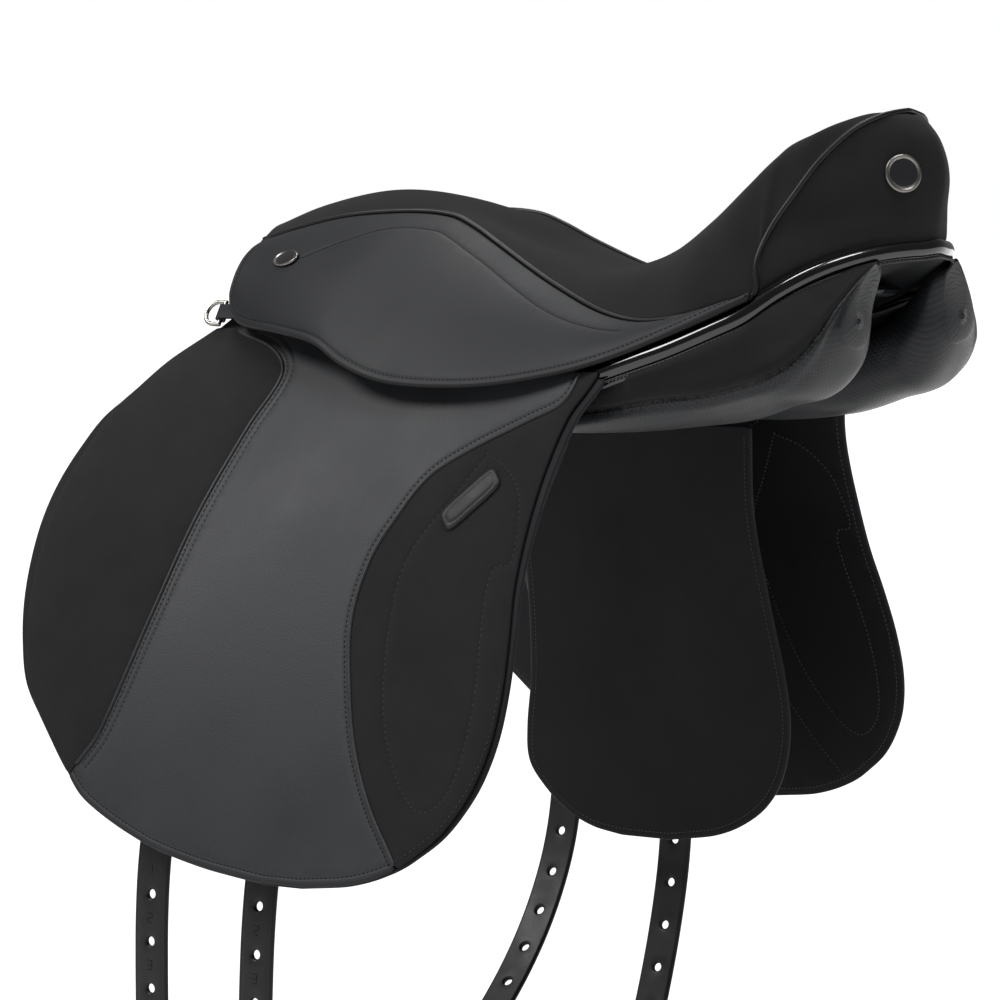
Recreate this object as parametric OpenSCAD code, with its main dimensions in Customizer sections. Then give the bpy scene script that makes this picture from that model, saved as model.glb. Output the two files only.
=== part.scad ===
// English saddle, close contact cut, with long girth straps.
// X runs from the head (-X) to the cantle (+X), the near side is -Y, Z is up.
// The origin is the middle of the bearing line of the two panels, where the saddle sits on its rack.

/* [Straps] */
// Width of a girth strap
strap_w = 25; // [22:1:28]
// Thickness of a girth strap
strap_t = 4; // [3:0.5:5]
// Distance from one punched hole to the next
hole_pitch = 29; // [25:1:30]
// Radius of a punched hole
hole_r = 2.75; // [2:0.25:3.5]
// Number of punched holes in each strap
hole_count = 8; // [6:1:9]

/* [Leather] */
// Thickness of the flap's base layer
flap_t = 2.6; // [2:0.2:3.4]
// Thickness of the layers sewn on the outside of the flap
overlay_t = 1.6; // [1.2:0.2:2]
// Thickness of the skirt
skirt_t = 3.6; // [3:0.2:4.4]
// Thickness of the sweat flap
sweat_t = 3; // [2.4:0.2:3.6]
// Thickness of the seat cover
cover_t = 2; // [1.6:0.2:2.6]

/* [Piping] */
// Radius of the welt between the seat and the skirt
welt_r = 1.7; // [1.4:0.1:1.9]
// Half height of the glossy band under the cantle
band_h = 5; // [4:0.5:6]
// Half thickness of the glossy band
band_w = 3; // [2:0.5:4]

/* [Rings and badges] */
// Radius of the wire of the front ring
dee_wire_r = 1.5; // [1.25:0.25:2]
// Width inside the front ring
dee_inside = 16; // [14:1:20]
// Radius of the badge on the skirt
badge_r = 10; // [8:1:12]
// Radius of the badge on the cantle
cantle_badge_r = 11.5; // [9:0.5:13]

/* [Stirrup bar] */
// Length of the slot for the stirrup leather
bar_slot = 62; // [50:1:66]
// Height of the stirrup bar
bar_h = 11; // [8:1:12]
// Thickness of the stirrup bar
bar_t = 5; // [4:0.5:6]

/* [Hidden] */

gap = 0.3;                 // clearance between pieces that only touch
seam = 3;                  // how far a cover stops short of its welt
cantle_seam = 3.8;         // the same on the cantle
fine = 48;                 // facets of a round piece

// The seat is a loft of ribs. Each rib runs from the near welt over the shoulder and the
// middle of the seat to the far welt. Ribs 0 to 13 cross the seat, ribs 13 to 20 climb the cantle.
corner = 13;
welt_pts = [[-254, -40, 122], [-223, -43, 130], [-180, -46, 138], [-131, -47, 141], [-99, -47, 139],
    [-79, -49, 132], [-57, -53, 121], [-27, -62, 107], [4, -74, 95], [46, -91, 82], [80, -100, 77],
    [113, -105, 80], [139, -103, 87], [161, -99, 94], [160, -96, 112], [163, -85, 132],
    [174, -73, 155], [182, -60, 173], [193, -43, 190], [201, -26, 198], [204, -10, 201]];
shoulder_pts = [[-255, -24, 131], [-223, -26, 141], [-178, -28, 149], [-133, -29, 148], [-101, -29, 139],
    [-80, -30, 131], [-58, -32, 121], [-28, -37, 111], [4, -46, 106], [46, -58, 108], [82, -64, 118],
    [114, -70, 137], [137, -71, 156], [147, -67, 167], [154, -62, 175], [161, -57, 182],
    [172, -51, 188], [179, -42, 193], [186, -32, 197], [191, -20, 200], [195, -7, 201]];
middle_pts = [[-256, 0, 134], [-222, 0, 146], [-176, 0, 154], [-134, 0, 151], [-103, 0, 138],
    [-82, 0, 128], [-60, 0, 119], [-30, 0, 111], [2, 0, 106], [44, 0, 103], [80, 0, 106],
    [112, 0, 114], [136, 0, 126], [150, 0, 138], [160, 0, 148], [168, 0, 158],
    [176, 0, 168], [183, 0, 180], [188, 0, 191], [192, 0, 198], [196, 0, 202]];
// The middle line of the cantle's back, one point for each rib from the corner to the top.
back_pts = [[225, 0, 127], [227, 0, 137], [229, 0, 148], [231, 0, 161], [230, 0, 173],
    [225, 0, 185], [216, 0, 195], [209, 0, 200]];
back_power = 1.5;          // 2 would be a round back, 1 a keel
foot_rise = 30;            // how much the foot of the cantle's back arches on each side
// The underside of the foam, as [x, z].
foam_floor = [[-256, 116], [-222, 121], [-180, 124], [-131, 124], [-99, 120], [-79, 114], [-57, 104],
    [-27, 92], [4, 80], [46, 70], [80, 74], [113, 84], [139, 97], [161, 106]];

// The skirt's lower edge, one point for each rib from 0 to the corner.
skirt_pts = [[-251, -88, 75], [-222, -103, 68], [-180, -122, 65], [-140, -137, 60], [-112, -145, 48],
    [-85, -149, 40], [-58, -151, 37], [-22, -152, 37], [14, -151, 40], [54, -146, 47], [85, -139, 56],
    [116, -129, 68], [143, -118, 80], [163, -107, 90]];
skirt_bulge = 12;          // how far the skirt stands out between its edges
skirt_fold_z = 72;         // height of the line that the skirt lifts about
skirt_fold_gap = 4;        // how much of each rib the fold takes

// Half distance between the flaps at the rear edge, and how much narrower they are at the front,
// both against height.
flap_out = [[-260, 259], [-200, 242], [-150, 225], [-100, 206], [-50, 185], [0, 161], [30, 147],
    [60, 130], [90, 112]];
flap_yaw = [[-260, -0.03], [-150, -0.03], [-60, 0], [0, 0.05], [60, 0.13], [90, 0.16]];
flap_pivot_x = 60;
// Front and rear edge of the flap against height, as [z, x].
flap_front = [[-256, -80], [-250, -128], [-240, -172], [-219, -222], [-202, -242], [-171, -272],
    [-151, -290],
    [-127, -302], [-103, -311], [-79, -317], [-54, -321], [-29, -322], [-7, -319], [12, -313], [28, -299],
    [46, -285], [63, -264], [74, -250], [84, -236]];
flap_rear = [[-256, -52], [-252, -18], [-242, 12], [-230, 31], [-218, 45], [-199, 58], [-182, 65], [-160, 69],
    [-134, 69], [-106, 66], [-78, 62], [-50, 61], [-21, 62], [2, 65], [23, 71], [36, 79], [50, 86],
    [72, 92], [84, 94]];
front_seam = [[-256, -275], [-220, -250], [-198, -235], [-176, -221], [-109, -205], [-43, -194], [8, -184],
    [33, -177], [45, -182], [56, -203], [64, -236], [84, -270]];
rear_seam = [[-256, 22], [-239, 14], [-208, -10], [-175, -29], [-141, -42], [-101, -53], [-66, -51],
    [-43, -42], [-16, -26], [0, -2], [19, 37], [28, 56], [40, 63], [84, 66]];
flap_fold_z = 30;          // height of the line the flap lifts about
// Top of the flap, as [x, height].
flap_top = [[-300, 83], [-60, 82], [-30, 70], [4, 60], [50, 48], [90, 44]];

// The sweat flap hangs from a straight line on the panel's lower outer edge.
sweat_hinge = [0, -101, 4];
near_lean = 25.5;          // how far the near sweat flap leans out, in degrees
far_lean = 14;             // how far the far one does
block_at = [-146, -62];    // top of the knee block on the sheet, as [x, height]
block_half = [17, 9];      // half width and height of the knee block
block_drop = 128;
sweat_front = [[-292, -118], [-288, -140], [-278, -160], [-262, -176], [-244, -186], [-220, -184],
    [-180, -174], [-120, -166], [-60, -164], [0, -170]];
sweat_rear = [[-292, -78], [-286, -42], [-274, -14], [-258, 6], [-236, 20], [-205, 29], [-170, 30],
    [-120, 26], [-60, 23], [0, 30]];

// Stations of a panel: x, distance out, height, half width, half height, tilt.
panel_stations = [[-214, 64, 64, 22, 6, 50], [-208, 66, 62, 34, 9, 50], [-190, 68, 58, 42, 12, 48],
    [-150, 70, 55, 44, 13, 44], [-100, 71, 48, 43, 16, 36], [-50, 72, 40, 45, 19, 26],
    [0, 73, 33, 45, 20, 16], [50, 75, 31, 47, 21, 8],
    [90, 77, 36, 48, 24, 2],
    [130, 76, 42, 45, 25, -4], [162, 72, 54, 41, 27, -8], [184, 67, 62, 39, 29, -10],
    [198, 63, 71, 31, 25, -10], [206, 60, 78, 18, 16, -10]];
panel_power = 0.8;         // 1 would be an ellipse, smaller is squarer

// Paths of the girth straps as the lean of each length of one hole pitch, from the web down.
strap_top = [0, -112, 32];
front_strap_x = -185;
rear_strap_x = -98;
strap_links = 20;
first_hole = 11;
tip_cut = 11;              // size of the cut across each corner of a strap's tip
near_lean_steps = [[0, 30], [3, 27], [6, 24], [9, 14], [12, 1], [17, -1]];
near_rear_lean_steps = [[0, 30], [3, 27], [6, 24], [9, 16], [12, 4], [17, -2]];
far_lean_steps = [[0, 24], [4, 21], [8, 12], [10, -6], [12, -26], [15, -46], [19, -60]];
far_rear_lean_steps = [[0, 24], [4, 21], [8, 14], [10, 1], [12, -12], [15, -22], [17, -28]];

// ---------------------------------------------------------------- functions

function unit(v) = v / max(norm(v), 1e-6);
function flip_y(p) = [p[0], -p[1], p[2]];

// A smooth curve through a list of points or numbers, at position t from 0 to len - 1.
function curve(p, t) =
    let(i = min(max(floor(t), 0), len(p) - 2), f = t - i, b = p[i], c = p[i + 1],
        a = i > 0 ? p[i - 1] : 2 * b - c, d = i < len(p) - 2 ? p[i + 2] : 2 * c - b)
    0.5 * (2 * b + (c - a) * f + (2 * a - 5 * b + 4 * c - d) * f * f
        + (3 * b - a - 3 * c + d) * f * f * f);

// The segment of a table of [key, value] that holds x.
function segment(t, x, i = 0) = i >= len(t) - 2 || x < t[i + 1][0] ? i : segment(t, x, i + 1);

// A smooth value from a table of [key, value].
function smooth(t, x) =
    let(i = segment(t, x), a = t[i], b = t[i + 1], h = b[0] - a[0], s = min(max((x - a[0]) / h, 0), 1),
        m = (b[1] - a[1]) / h,
        m0 = i > 0 ? (b[1] - t[i - 1][1]) / (b[0] - t[i - 1][0]) : m,
        m1 = i < len(t) - 2 ? (t[i + 2][1] - a[1]) / (t[i + 2][0] - a[0]) : m)
    a[1] * (2 * s * s * s - 3 * s * s + 1) + b[1] * (3 * s * s - 2 * s * s * s)
        + h * m0 * (s * s * s - 2 * s * s + s) + h * m1 * (s * s * s - s * s);

// Unit normals of a grid of points.
function grid_normals(g) =
    let(n = len(g), m = len(g[0]))
    [for (i = [0:n - 1]) [for (j = [0:m - 1])
        unit(cross(g[min(i + 1, n - 1)][j] - g[max(i - 1, 0)][j],
            g[i][min(j + 1, m - 1)] - g[i][max(j - 1, 0)]))]];
function grid_offset(g, d) =
    let(k = grid_normals(g))
    [for (i = [0:len(g) - 1]) [for (j = [0:len(g[0]) - 1]) g[i][j] + k[i][j] * d]];

// A closed body between two grids of the same size.
module slab(a, b) {
    n = len(a);
    m = len(a[0]);
    o = n * m;
    pts = concat([for (r = a) each r], [for (r = b) each r]);
    skin = [for (i = [0:n - 2], j = [0:m - 2]) each
        [[i * m + j, i * m + j + 1, (i + 1) * m + j + 1],
            [i * m + j, (i + 1) * m + j + 1, (i + 1) * m + j]]];
    rim = concat([for (j = [0:m - 2]) j], [for (i = [0:n - 2]) i * m + m - 1],
        [for (j = [m - 1:-1:1]) (n - 1) * m + j], [for (i = [n - 1:-1:1]) i * m]);
    polyhedron(pts, concat(skin, [for (f = skin) [f[0] + o, f[2] + o, f[1] + o]],
        [for (k = [0:len(rim) - 1]) let(p = rim[k], q = rim[(k + 1) % len(rim)])
            each [[p, o + p, o + q], [p, o + q, q]]]), convexity = 6);
}

// A closed body through rings of points, with a fan at each end.
module loft(rings) {
    n = len(rings);
    m = len(rings[0]);
    ends = [for (r = [rings[0], rings[n - 1]]) [for (k = [0:2]) [for (p = r) p[k]] * [for (p = r) 1] / m]];
    pts = concat([for (r = rings) each r], ends);
    polyhedron(pts, concat(
        [for (i = [0:n - 2], j = [0:m - 1]) let(k = (j + 1) % m)
            each [[i * m + j, (i + 1) * m + j, (i + 1) * m + k],
                [i * m + j, (i + 1) * m + k, i * m + k]]],
        [for (j = [0:m - 1]) [n * m, j, (j + 1) % m]],
        [for (j = [0:m - 1]) [n * m + 1, (n - 1) * m + (j + 1) % m, (n - 1) * m + j]]), convexity = 6);
}

// A tube along a path, with half width a across and half height b up.
module tube(path, a, b, sides = 8) {
    n = len(path);
    loft([for (i = [0:n - 1])
        let(t = unit(path[min(i + 1, n - 1)] - path[max(i - 1, 0)]),
            s = unit(cross(t, [0, 0, 1])), u = cross(s, t))
        [for (k = [0:sides - 1])
            path[i] + s * a * cos(360 * k / sides) - u * b * sin(360 * k / sides)]]);
}

module far() { mirror([0, 1, 0]) children(); }

// ---------------------------------------------------------------- seat

function welt(u) = curve(welt_pts, u);
// A point that far from the welt, square to it, towards a target.
function inset(u, target, edge) =
    let(w = welt(u), t = unit(welt(u + 0.05) - welt(u - 0.05)), d = target - w)
    w + unit(d - t * (d * t)) * edge;
function rib(u, trim = 0) =
    let(s = curve(shoulder_pts, u), m = curve(middle_pts, u),
        e = inset(u, s, u < corner ? seam : cantle_seam), p = [e, s, m, flip_y(s), flip_y(e)])
    [for (v = [0:0.25:4]) curve(p, min(max(v, trim), 4 - trim))];
seat_steps = [for (u = [0:0.5:19.5]) u];
seat_grid = [for (u = seat_steps) rib(u)];
foam_rows = 35;            // the foam stops a little below the top of the cantle
foam_narrow = 0.94;        // how much narrower the foam is than the cover, at its foot
foam_trim = 0.12;          // and over its top, as a share of a rib's quarter
function back_point(u, v, edge = cantle_seam) =
    let(r = curve(back_pts, u - corner), w = inset(u, r, edge), k = 1 - pow(abs(v), back_power))
    [w[0] + (r[0] - w[0]) * k, w[1] * -v,
        w[2] + (r[2] - w[2]) * k + foot_rise * k * (1 - k) * max(0, 1 - (u - corner) / 2)];
facing_grid = [for (u = [corner:0.5:19]) [for (v = [-1:0.125:1]) back_point(u, v)]];
function floor_point(u, v) =
    let(w = inset(u, curve(shoulder_pts, u), seam + 2), side = w[2] - 3, z = smooth(foam_floor, w[0]))
    [w[0], w[1] * -foam_narrow * v, side + (z - side) * (1 - pow(abs(v), 6))];
foam_top = [for (u = seat_steps) rib(u, foam_trim)];
foam_under = concat([for (u = [0:0.5:corner - 0.5]) [for (v = [-1:0.125:1]) floor_point(u, v)]],
    grid_offset(facing_grid, cover_t + gap));

module seat_cover() {
    color("#1f1f20") slab(seat_grid, grid_offset(seat_grid, -cover_t));
}
module seat_foam() {
    top = grid_offset(foam_top, -cover_t - 0.5);
    color("#cfc6a8") slab([for (i = [0:foam_rows]) top[i]], [for (i = [0:foam_rows]) foam_under[i]]);
}
module cantle_facing() {
    color("#1d1d1e") slab(grid_offset(facing_grid, cover_t), facing_grid);
}
module near_welt() {
    color("#131315") tube([for (u = [0:0.5:corner - 0.1]) welt(u)], welt_r, welt_r, 6);
}
module far_welt() { far() near_welt(); }
module cantle_welt() {
    climb = [for (u = [corner + 0.1:0.5:20]) welt(u)];
    color("#8a8a8c") tube(concat(climb, [[206, 0, 202]],
        [for (i = [len(climb) - 1:-1:0]) flip_y(climb[i])]), welt_r, welt_r, 6);
}
// The band follows the lower edge of the skirt and then the foot of the cantle's back.
function band_side() = [[76, -131, 47], [96, -127, 54], [118, -121, 62], [142, -112.5, 73], [158, -105, 81]];
function band_back() = [for (v = [0.92:-0.115:0.1]) let(k = 1 - pow(v, back_power))
    [164 + 62 * k, -102 * v, 86 + 34 * k + foot_rise * k * (1 - k)]];
module cantle_band() {
    half = concat(band_side(), band_back());
    color("#0c0c0e") tube(concat(half, [[226, 0, 121]],
        [for (i = [len(half) - 1:-1:0]) flip_y(half[i])]), band_w, band_h, 8);
}

// ---------------------------------------------------------------- skirts

function skirt_point(i, t) =
    let(w = inset(i, curve(skirt_pts, i), seam), l = curve(skirt_pts, i),
        h = skirt_bulge * 4 * t * (1 - t) * (1 - i / 22))
    w + (l - w) * t + [0, -0.62, 0.78] * h;
skirt_cols = 8;
// The share of rib i that lies above height z.
function share_at(i, z, lo = 0, hi = 1, k = 0) =
    k > 12 ? (lo + hi) / 2 : let(m = (lo + hi) / 2)
    skirt_point(i, m)[2] > z ? share_at(i, z, m, hi, k + 1) : share_at(i, z, lo, m, k + 1);
fold_first = 1.6;          // first and last rib of the part that lifts
fold_last = 9.8;
function fold_share(i) = (i < fold_first || i > fold_last) ? 1 : share_at(i, skirt_fold_z);
function skirt_strip(steps, top, bottom) =
    [for (i = steps) let(a = top(i), b = bottom(i))
        [for (k = [0:skirt_cols]) skirt_point(i, a + (b - a) * k / skirt_cols)]];
module skirt_sheet(g) { color("#2c2d2f") slab(grid_offset(g, skirt_t), g); }
module near_skirt_upper() {
    skirt_sheet(skirt_strip([for (i = [0.1:0.5:corner]) i], function (i) 0, function (i) fold_share(i)));
}
module near_skirt() {
    skirt_sheet(skirt_strip([for (i = [fold_first + 0.6:0.5:fold_last - 0.5]) i],
        function (i) share_at(i, skirt_fold_z - skirt_fold_gap), function (i) 1));
}
module far_skirt_upper() { far() near_skirt_upper(); }
module far_skirt() { far() near_skirt(); }
module badge(r) {
    color("#6e6a66") union() {
        cylinder(r = r, h = 1.4, $fn = fine);
        translate([0, 0, 1.4]) cylinder(r = r - 1.4, h = 0.6, $fn = fine);
    }
}
// Set a round badge on a surface at p, square to the directions a and b.
module badge_on(p, a, b, r) {
    n = unit(cross(a, b));
    translate(p + 0.6 * n) rotate([0, acos(n[2]), atan2(n[1], n[0])]) badge(r);
}
badge_rib = 1.42;
badge_share = 0.44;
module near_badge() {
    badge_on(skirt_point(badge_rib, badge_share),
        skirt_point(badge_rib, badge_share + 0.1) - skirt_point(badge_rib, badge_share - 0.1),
        skirt_point(badge_rib + 0.2, badge_share) - skirt_point(badge_rib - 0.2, badge_share), badge_r);
}
module cantle_badge() {
    badge_on(back_point(16.4, -0.4), back_point(16.4, -0.35) - back_point(16.4, -0.45),
        back_point(16.6, -0.4) - back_point(16.2, -0.4), cantle_badge_r);
}
module far_badge() { far() near_badge(); }

// ---------------------------------------------------------------- panels

function panel_ring(t, grow = 0) =
    let(s = curve(panel_stations, t), a = s[3] + grow, b = s[4] + grow,
        w = [cos(s[5]), -sin(s[5])], n = [sin(s[5]), cos(s[5])])
    [for (k = [0:19]) let(q = panel_side(18 * k))
        [s[0], -(s[1] + a * q[0] * w[0] + b * q[1] * n[0]), s[2] + a * q[0] * w[1] + b * q[1] * n[1]]];
// A point on a rounded oblong, squarer than an ellipse.
function panel_side(e) = [sign(cos(e)) * pow(abs(cos(e)), panel_power),
    sign(sin(e)) * pow(abs(sin(e)), panel_power)];
module near_panel() {
    color("#23262b") loft([for (t = [len(panel_stations) - 1:-0.5:0]) panel_ring(t)]);
}
module far_panel() { far() near_panel(); }
// A cord sewn along the panel's outer side and round its back.
module near_panel_piping() {
    color("#101012") tube([for (t = [6.5:0.5:12]) panel_ring(t, 1.9)[1]], 1.4, 1.4, 6);
}
module far_panel_piping() { far() near_panel_piping(); }

// ---------------------------------------------------------------- strips bent from sheet

function out(p) = [for (q = p) [-q[0], q[1]]];
function strip_normal(p, i) =
    let(d = unit(p[min(i + 1, len(p) - 1)] - p[max(i - 1, 0)])) [-d[1], d[0]];
function strip_outline(p, t) = concat([for (i = [0:len(p) - 1]) p[i] + strip_normal(p, i) * t / 2],
    [for (i = [len(p) - 1:-1:0]) p[i] - strip_normal(p, i) * t / 2]);
// A strip of thickness t that follows a path of [distance out, height], from x0 to x1.
module strip(p, t, x0, x1) {
    translate([x0, 0, 0]) rotate([90, 0, 90]) linear_extrude(x1 - x0) polygon(strip_outline(p, t));
}
function across(p) = concat(out(p), [for (i = [len(p) - 1:-1:0]) p[i]]);

// ---------------------------------------------------------------- tree

point_path = [[114, 12], [107, 28], [95.5, 46], [81, 65], [67, 81], [60, 93], [51, 101], [36, 105],
    [18, 107]];
rail_path = [[-212, -46, 103], [-180, -49, 104], [-140, -52, 103], [-99, -54, 98], [-57, -58, 87],
    [-27, -62, 75], [4, -66, 65], [46, -70, 60], [80, -70, 65], [113, -66, 75], [139, -58, 85],
    [158, -46, 91], [174, -24, 94], [180, 0, 95]];
rail_half = [10, 3.5];     // half width and half thickness of a rail
head_x = [-222, -203];
rivet_xs = [-217, -208];
rivet_ys = [-26, -10, 10, 26];

module tree() {
    whole = concat(rail_path, [for (i = [len(rail_path) - 2:-1:0]) flip_y(rail_path[i])]);
    color("#3a3d40") union() {
        tube(whole, rail_half[0], rail_half[1], 10);
        strip(across(point_path), 2.6, head_x[0], head_x[1]);
        strip(across([[50, 102], [36, 106], [18, 107.4]]), 6, head_x[0], head_x[1]);
    }
}
module head_plate() {
    color("#8c8f92") difference() {
        strip(across([[32, 111.7], [16, 111.7]]), 1.6, head_x[0], head_x[1]);
        for (x = rivet_xs, y = rivet_ys) translate([x, y, 100]) cylinder(r = 2.3, h = 20, $fn = 24);
    }
}
module head_plate_rivets() {
    color("#c0c2c4") for (x = rivet_xs, y = rivet_ys) translate([x, y, 110.7]) union() {
        cylinder(r = 2, h = 2.2, $fn = 24);
        translate([0, 0, 2.1]) cylinder(r = 3.4, h = 1.2, $fn = 24);
    }
}
// Webbing from the head to the cantle that the foam lies on.
module seat_webs() {
    steps = [for (i = [2:0.5:12]) curve(foam_floor, i)];
    color("#d8d2c0") for (side = [-14, 14]) translate([0, side + 11, 0]) rotate([90, 0, 0])
        linear_extrude(22) polygon(strip_outline([for (p = steps) p - [0, 4.6]], 1.6));
}
web_t = 1.6;
front_web_path = [[109.8, 38.5], [104, 46], [88.5, 63], [73, 80], [69, 92], [64, 106],
    [52, 112], [20, 113.5]];
rear_web_path = [[110, 38.5], [106.5, 45], [97, 62], [86, 80], [76, 95], [66, 103], [50, 105.5], [20, 106]];
module girth_web(path, x) {
    color("#d8d2c0") strip(across(path), web_t, x - strap_w / 2, x + strap_w / 2);
}
module front_girth_web() { girth_web(front_web_path, front_strap_x); }
module rear_girth_web() { girth_web(rear_web_path, rear_strap_x); }

// ---------------------------------------------------------------- stirrup bars

bar_x = -160;              // front end of the stirrup bar
bar_y = 109;
bar_z = 74;
catch_len = 10;
pin_r = 1.5;
module near_stirrup_bar() {
    back = bar_x + 8 + bar_slot;
    color("#b9bbbd") difference() {
        union() {
            translate([bar_x, -bar_y - bar_t / 2, bar_z - bar_h / 2]) cube([bar_slot + 8, bar_t, bar_h]);
            strip(out([[bar_y, bar_z], [106, 84], [95, 91], [76, 97], [67, 98.5]]), 4, bar_x, bar_x + 8);
            strip(out([[76, 97], [67, 98.5]]), 3, bar_x, rear_strap_x - strap_w / 2 - 3);
        }
        translate([back - 4, -bar_y - 10, bar_z]) rotate([-90, 0, 0])
            cylinder(r = pin_r + gap, h = 20, $fn = 24);
        translate([back - 8, -bar_y - 1.3, bar_z - bar_h]) cube([20, 2.6, 2 * bar_h]);
    }
}
module far_stirrup_bar() { far() near_stirrup_bar(); }
module near_bar_catch() {
    color("#c9cbcd") translate([bar_x + 4 + bar_slot, -bar_y, bar_z]) union() {
        rotate([-90, 0, 0]) translate([0, 0, -bar_t / 2]) cylinder(r = pin_r, h = bar_t, $fn = 24);
        rotate([-90, 0, 0]) translate([0, 0, -1]) cylinder(r = 3.2, h = 2, $fn = 24);
        translate([0, -1, -3]) cube([catch_len, 2, 6]);
    }
}
module far_bar_catch() { far() near_bar_catch(); }

// ---------------------------------------------------------------- front rings

dee_at = [-256, -81, 75];
dee_tilt = -30;
module dee_place() { translate(dee_at) rotate([dee_tilt, 0, 0]) children(); }
module near_dee() {
    r = dee_inside / 2;
    color("#c6c8ca") dee_place() union() {
        translate([0, 0, -r]) cylinder(r = dee_wire_r, h = 2 * r, $fn = 24);
        for (z = [-r, r]) translate([0, 0, z]) {
            sphere(r = dee_wire_r, $fn = 24);
            rotate([0, -90, 0]) cylinder(r = dee_wire_r, h = 5, $fn = 24);
        }
        translate([-5, 0, 0]) rotate([90, 0, 0]) rotate([0, 0, 90])
            rotate_extrude(angle = 180, $fn = fine) translate([r, 0]) circle(r = dee_wire_r, $fn = 24);
    }
}
module far_dee() { far() near_dee(); }
module near_dee_tab() {
    outer = dee_wire_r + gap + 1.6;
    color("#1c1c1e") dee_place() difference() {
        union() {
            translate([0, 0, -5]) cylinder(r = outer, h = 10, $fn = 24);
            translate([0, -outer, -5]) cube([15, 1.6, 10]);
        }
        translate([0, 0, -6]) cylinder(r = dee_wire_r + gap, h = 12, $fn = 24);
    }
}
module far_dee_tab() { far() near_dee_tab(); }

// ---------------------------------------------------------------- flaps

flap_bottom = -256;
layer_in = overlay_t + 0.4; // depth of the base layer under the flap's outer surface
overlay_edge = 1.5;        // how far the outer layers stay inside the base layer's edge
function flap_point(x, z) = [x, -(smooth(flap_out, z) - smooth(flap_yaw, z) * (flap_pivot_x - x)), z];
// Heights of the flap's rows from top to bottom, closer together towards the rounded bottom.
flap_rows = [for (i = [0:22]) flap_bottom + (flap_fold_z - 0.6 - flap_bottom) * pow(1 - i / 22, 1.6)];
function rows_above(z) = [for (r = flap_rows) if (r > z) r];
function flap_strip(zs, front, rear, cols = 10) =
    [for (z = zs) let(a = front(z), b = rear(z)) [for (k = [0:cols]) flap_point(a + (b - a) * k / cols, z)]];
module layer(g, d, t, shade) { color(shade) slab(grid_offset(g, -d), grid_offset(g, -d - t)); }

// The part of the flap that is nailed to the tree ends under the skirt.
module near_flap_upper() {
    g = [for (s = [1:-0.2:0]) [for (k = [0:10])
        let(x = -272 + 35.5 * k, z = flap_fold_z + 0.6 + (smooth(flap_top, x) - flap_fold_z) * s,
            a = smooth(flap_front, z), b = smooth(flap_rear, z))
        flap_point(a + (b - a) * k / 10, z)]];
    layer(g, 0, flap_t, "#202022");
}
module near_flap() {
    g = flap_strip(flap_rows,
        function (z) smooth(flap_front, z), function (z) smooth(flap_rear, z));
    layer(g, layer_in, flap_t, "#202022");
}
module near_knee_suede() {
    g = flap_strip(rows_above(-199),
        function (z) smooth(flap_front, z) + overlay_edge, function (z) smooth(front_seam, z) - gap, 7);
    layer(g, 0, overlay_t, "#262625");
}
module near_flap_centre() {
    g = flap_strip(rows_above(-255),
        function (z) max(smooth(front_seam, z) + gap, smooth(flap_front, z) + overlay_edge),
        function (z) min(smooth(rear_seam, z) - gap, smooth(flap_rear, z) - overlay_edge), 8);
    layer(g, 0, overlay_t, "#3a3b3e");
}
module near_thigh_suede() {
    g = flap_strip(rows_above(-236),
        function (z) smooth(rear_seam, z) + gap, function (z) smooth(flap_rear, z) - overlay_edge, 7);
    layer(g, 0, overlay_t, "#262625");
}
module near_label() {
    g = [for (k = [-3:3]) [for (j = [-3:3])
        let(a = 4.5 * k, b = 1.65 * j) flap_point(11 + a + b, -29 + a - b)]];
    color("#0e0e0f") slab(grid_offset(g, -gap), grid_offset(g, -2.2));
}

// Inside the flap: a shield over the girth buckles and two loops for the straps.
inside = layer_in + flap_t + gap;
module near_keepers() {
    shield = [for (z = [-38:-12:-98]) [for (x = [-186:24:-66]) flap_point(x, z)]];
    layer(shield, inside, 1.6, "#1a1a1c");
    for (x = [front_strap_x, rear_strap_x]) {
        loop = [for (z = [-118, -127, -136]) [for (dx = [-22:11:22]) flap_point(x + dx, z)]];
        layer(loop, inside, 2.4, "#1a1a1c");
    }
}
module far_flap_upper() { far() near_flap_upper(); }
module far_flap() { far() near_flap(); }
module far_knee_suede() { far() near_knee_suede(); }
module far_flap_centre() { far() near_flap_centre(); }
module far_thigh_suede() { far() near_thigh_suede(); }
module far_label() { far() near_label(); }
module far_keepers() { far() near_keepers(); }

// ---------------------------------------------------------------- sweat flaps

function sweat_outline() =
    let(n = 20, zs = [for (i = [0:n]) -292 + 292 * pow(i / n, 1.5)])
    concat([for (z = zs) [smooth(sweat_front, z), z]],
        [for (i = [n:-1:0]) [smooth(sweat_rear, zs[i]), zs[i]]]);
// The near side's sheet, hanging straight down from the hinge line, is turned out by lean.
module sweat_place(lean) { translate(sweat_hinge) rotate([-lean, 0, 0]) children(); }
module sweat_flap(lean) {
    color("#111316") sweat_place(lean) rotate([90, 0, 0]) translate([0, 0, -sweat_t / 2])
        linear_extrude(sweat_t) polygon(sweat_outline());
}
// The knee block lies along the sweat flap's front edge, on its outer side.
function block_ring(s) =
    let(t = s / 10, full = sqrt(sin(180 * (0.06 + 0.88 * t))), w = block_half[0] * full,
        h = block_half[1] * full, x = block_at[0] + 8 * t - 22 * t * t, z = block_at[1] - block_drop * t)
    [for (k = [0:11]) [x + w * cos(30 * k), -sweat_t / 2 - gap - h * (k < 7 ? sin(30 * k) : 0), z]];
module knee_block(lean) { color("#191a1c") sweat_place(lean) loft([for (s = [0:10]) block_ring(s)]); }
module near_sweat_flap() { sweat_flap(near_lean); }
module far_sweat_flap() { far() sweat_flap(far_lean); }
module near_knee_block() { knee_block(near_lean); }
module far_knee_block() { far() knee_block(far_lean); }

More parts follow.
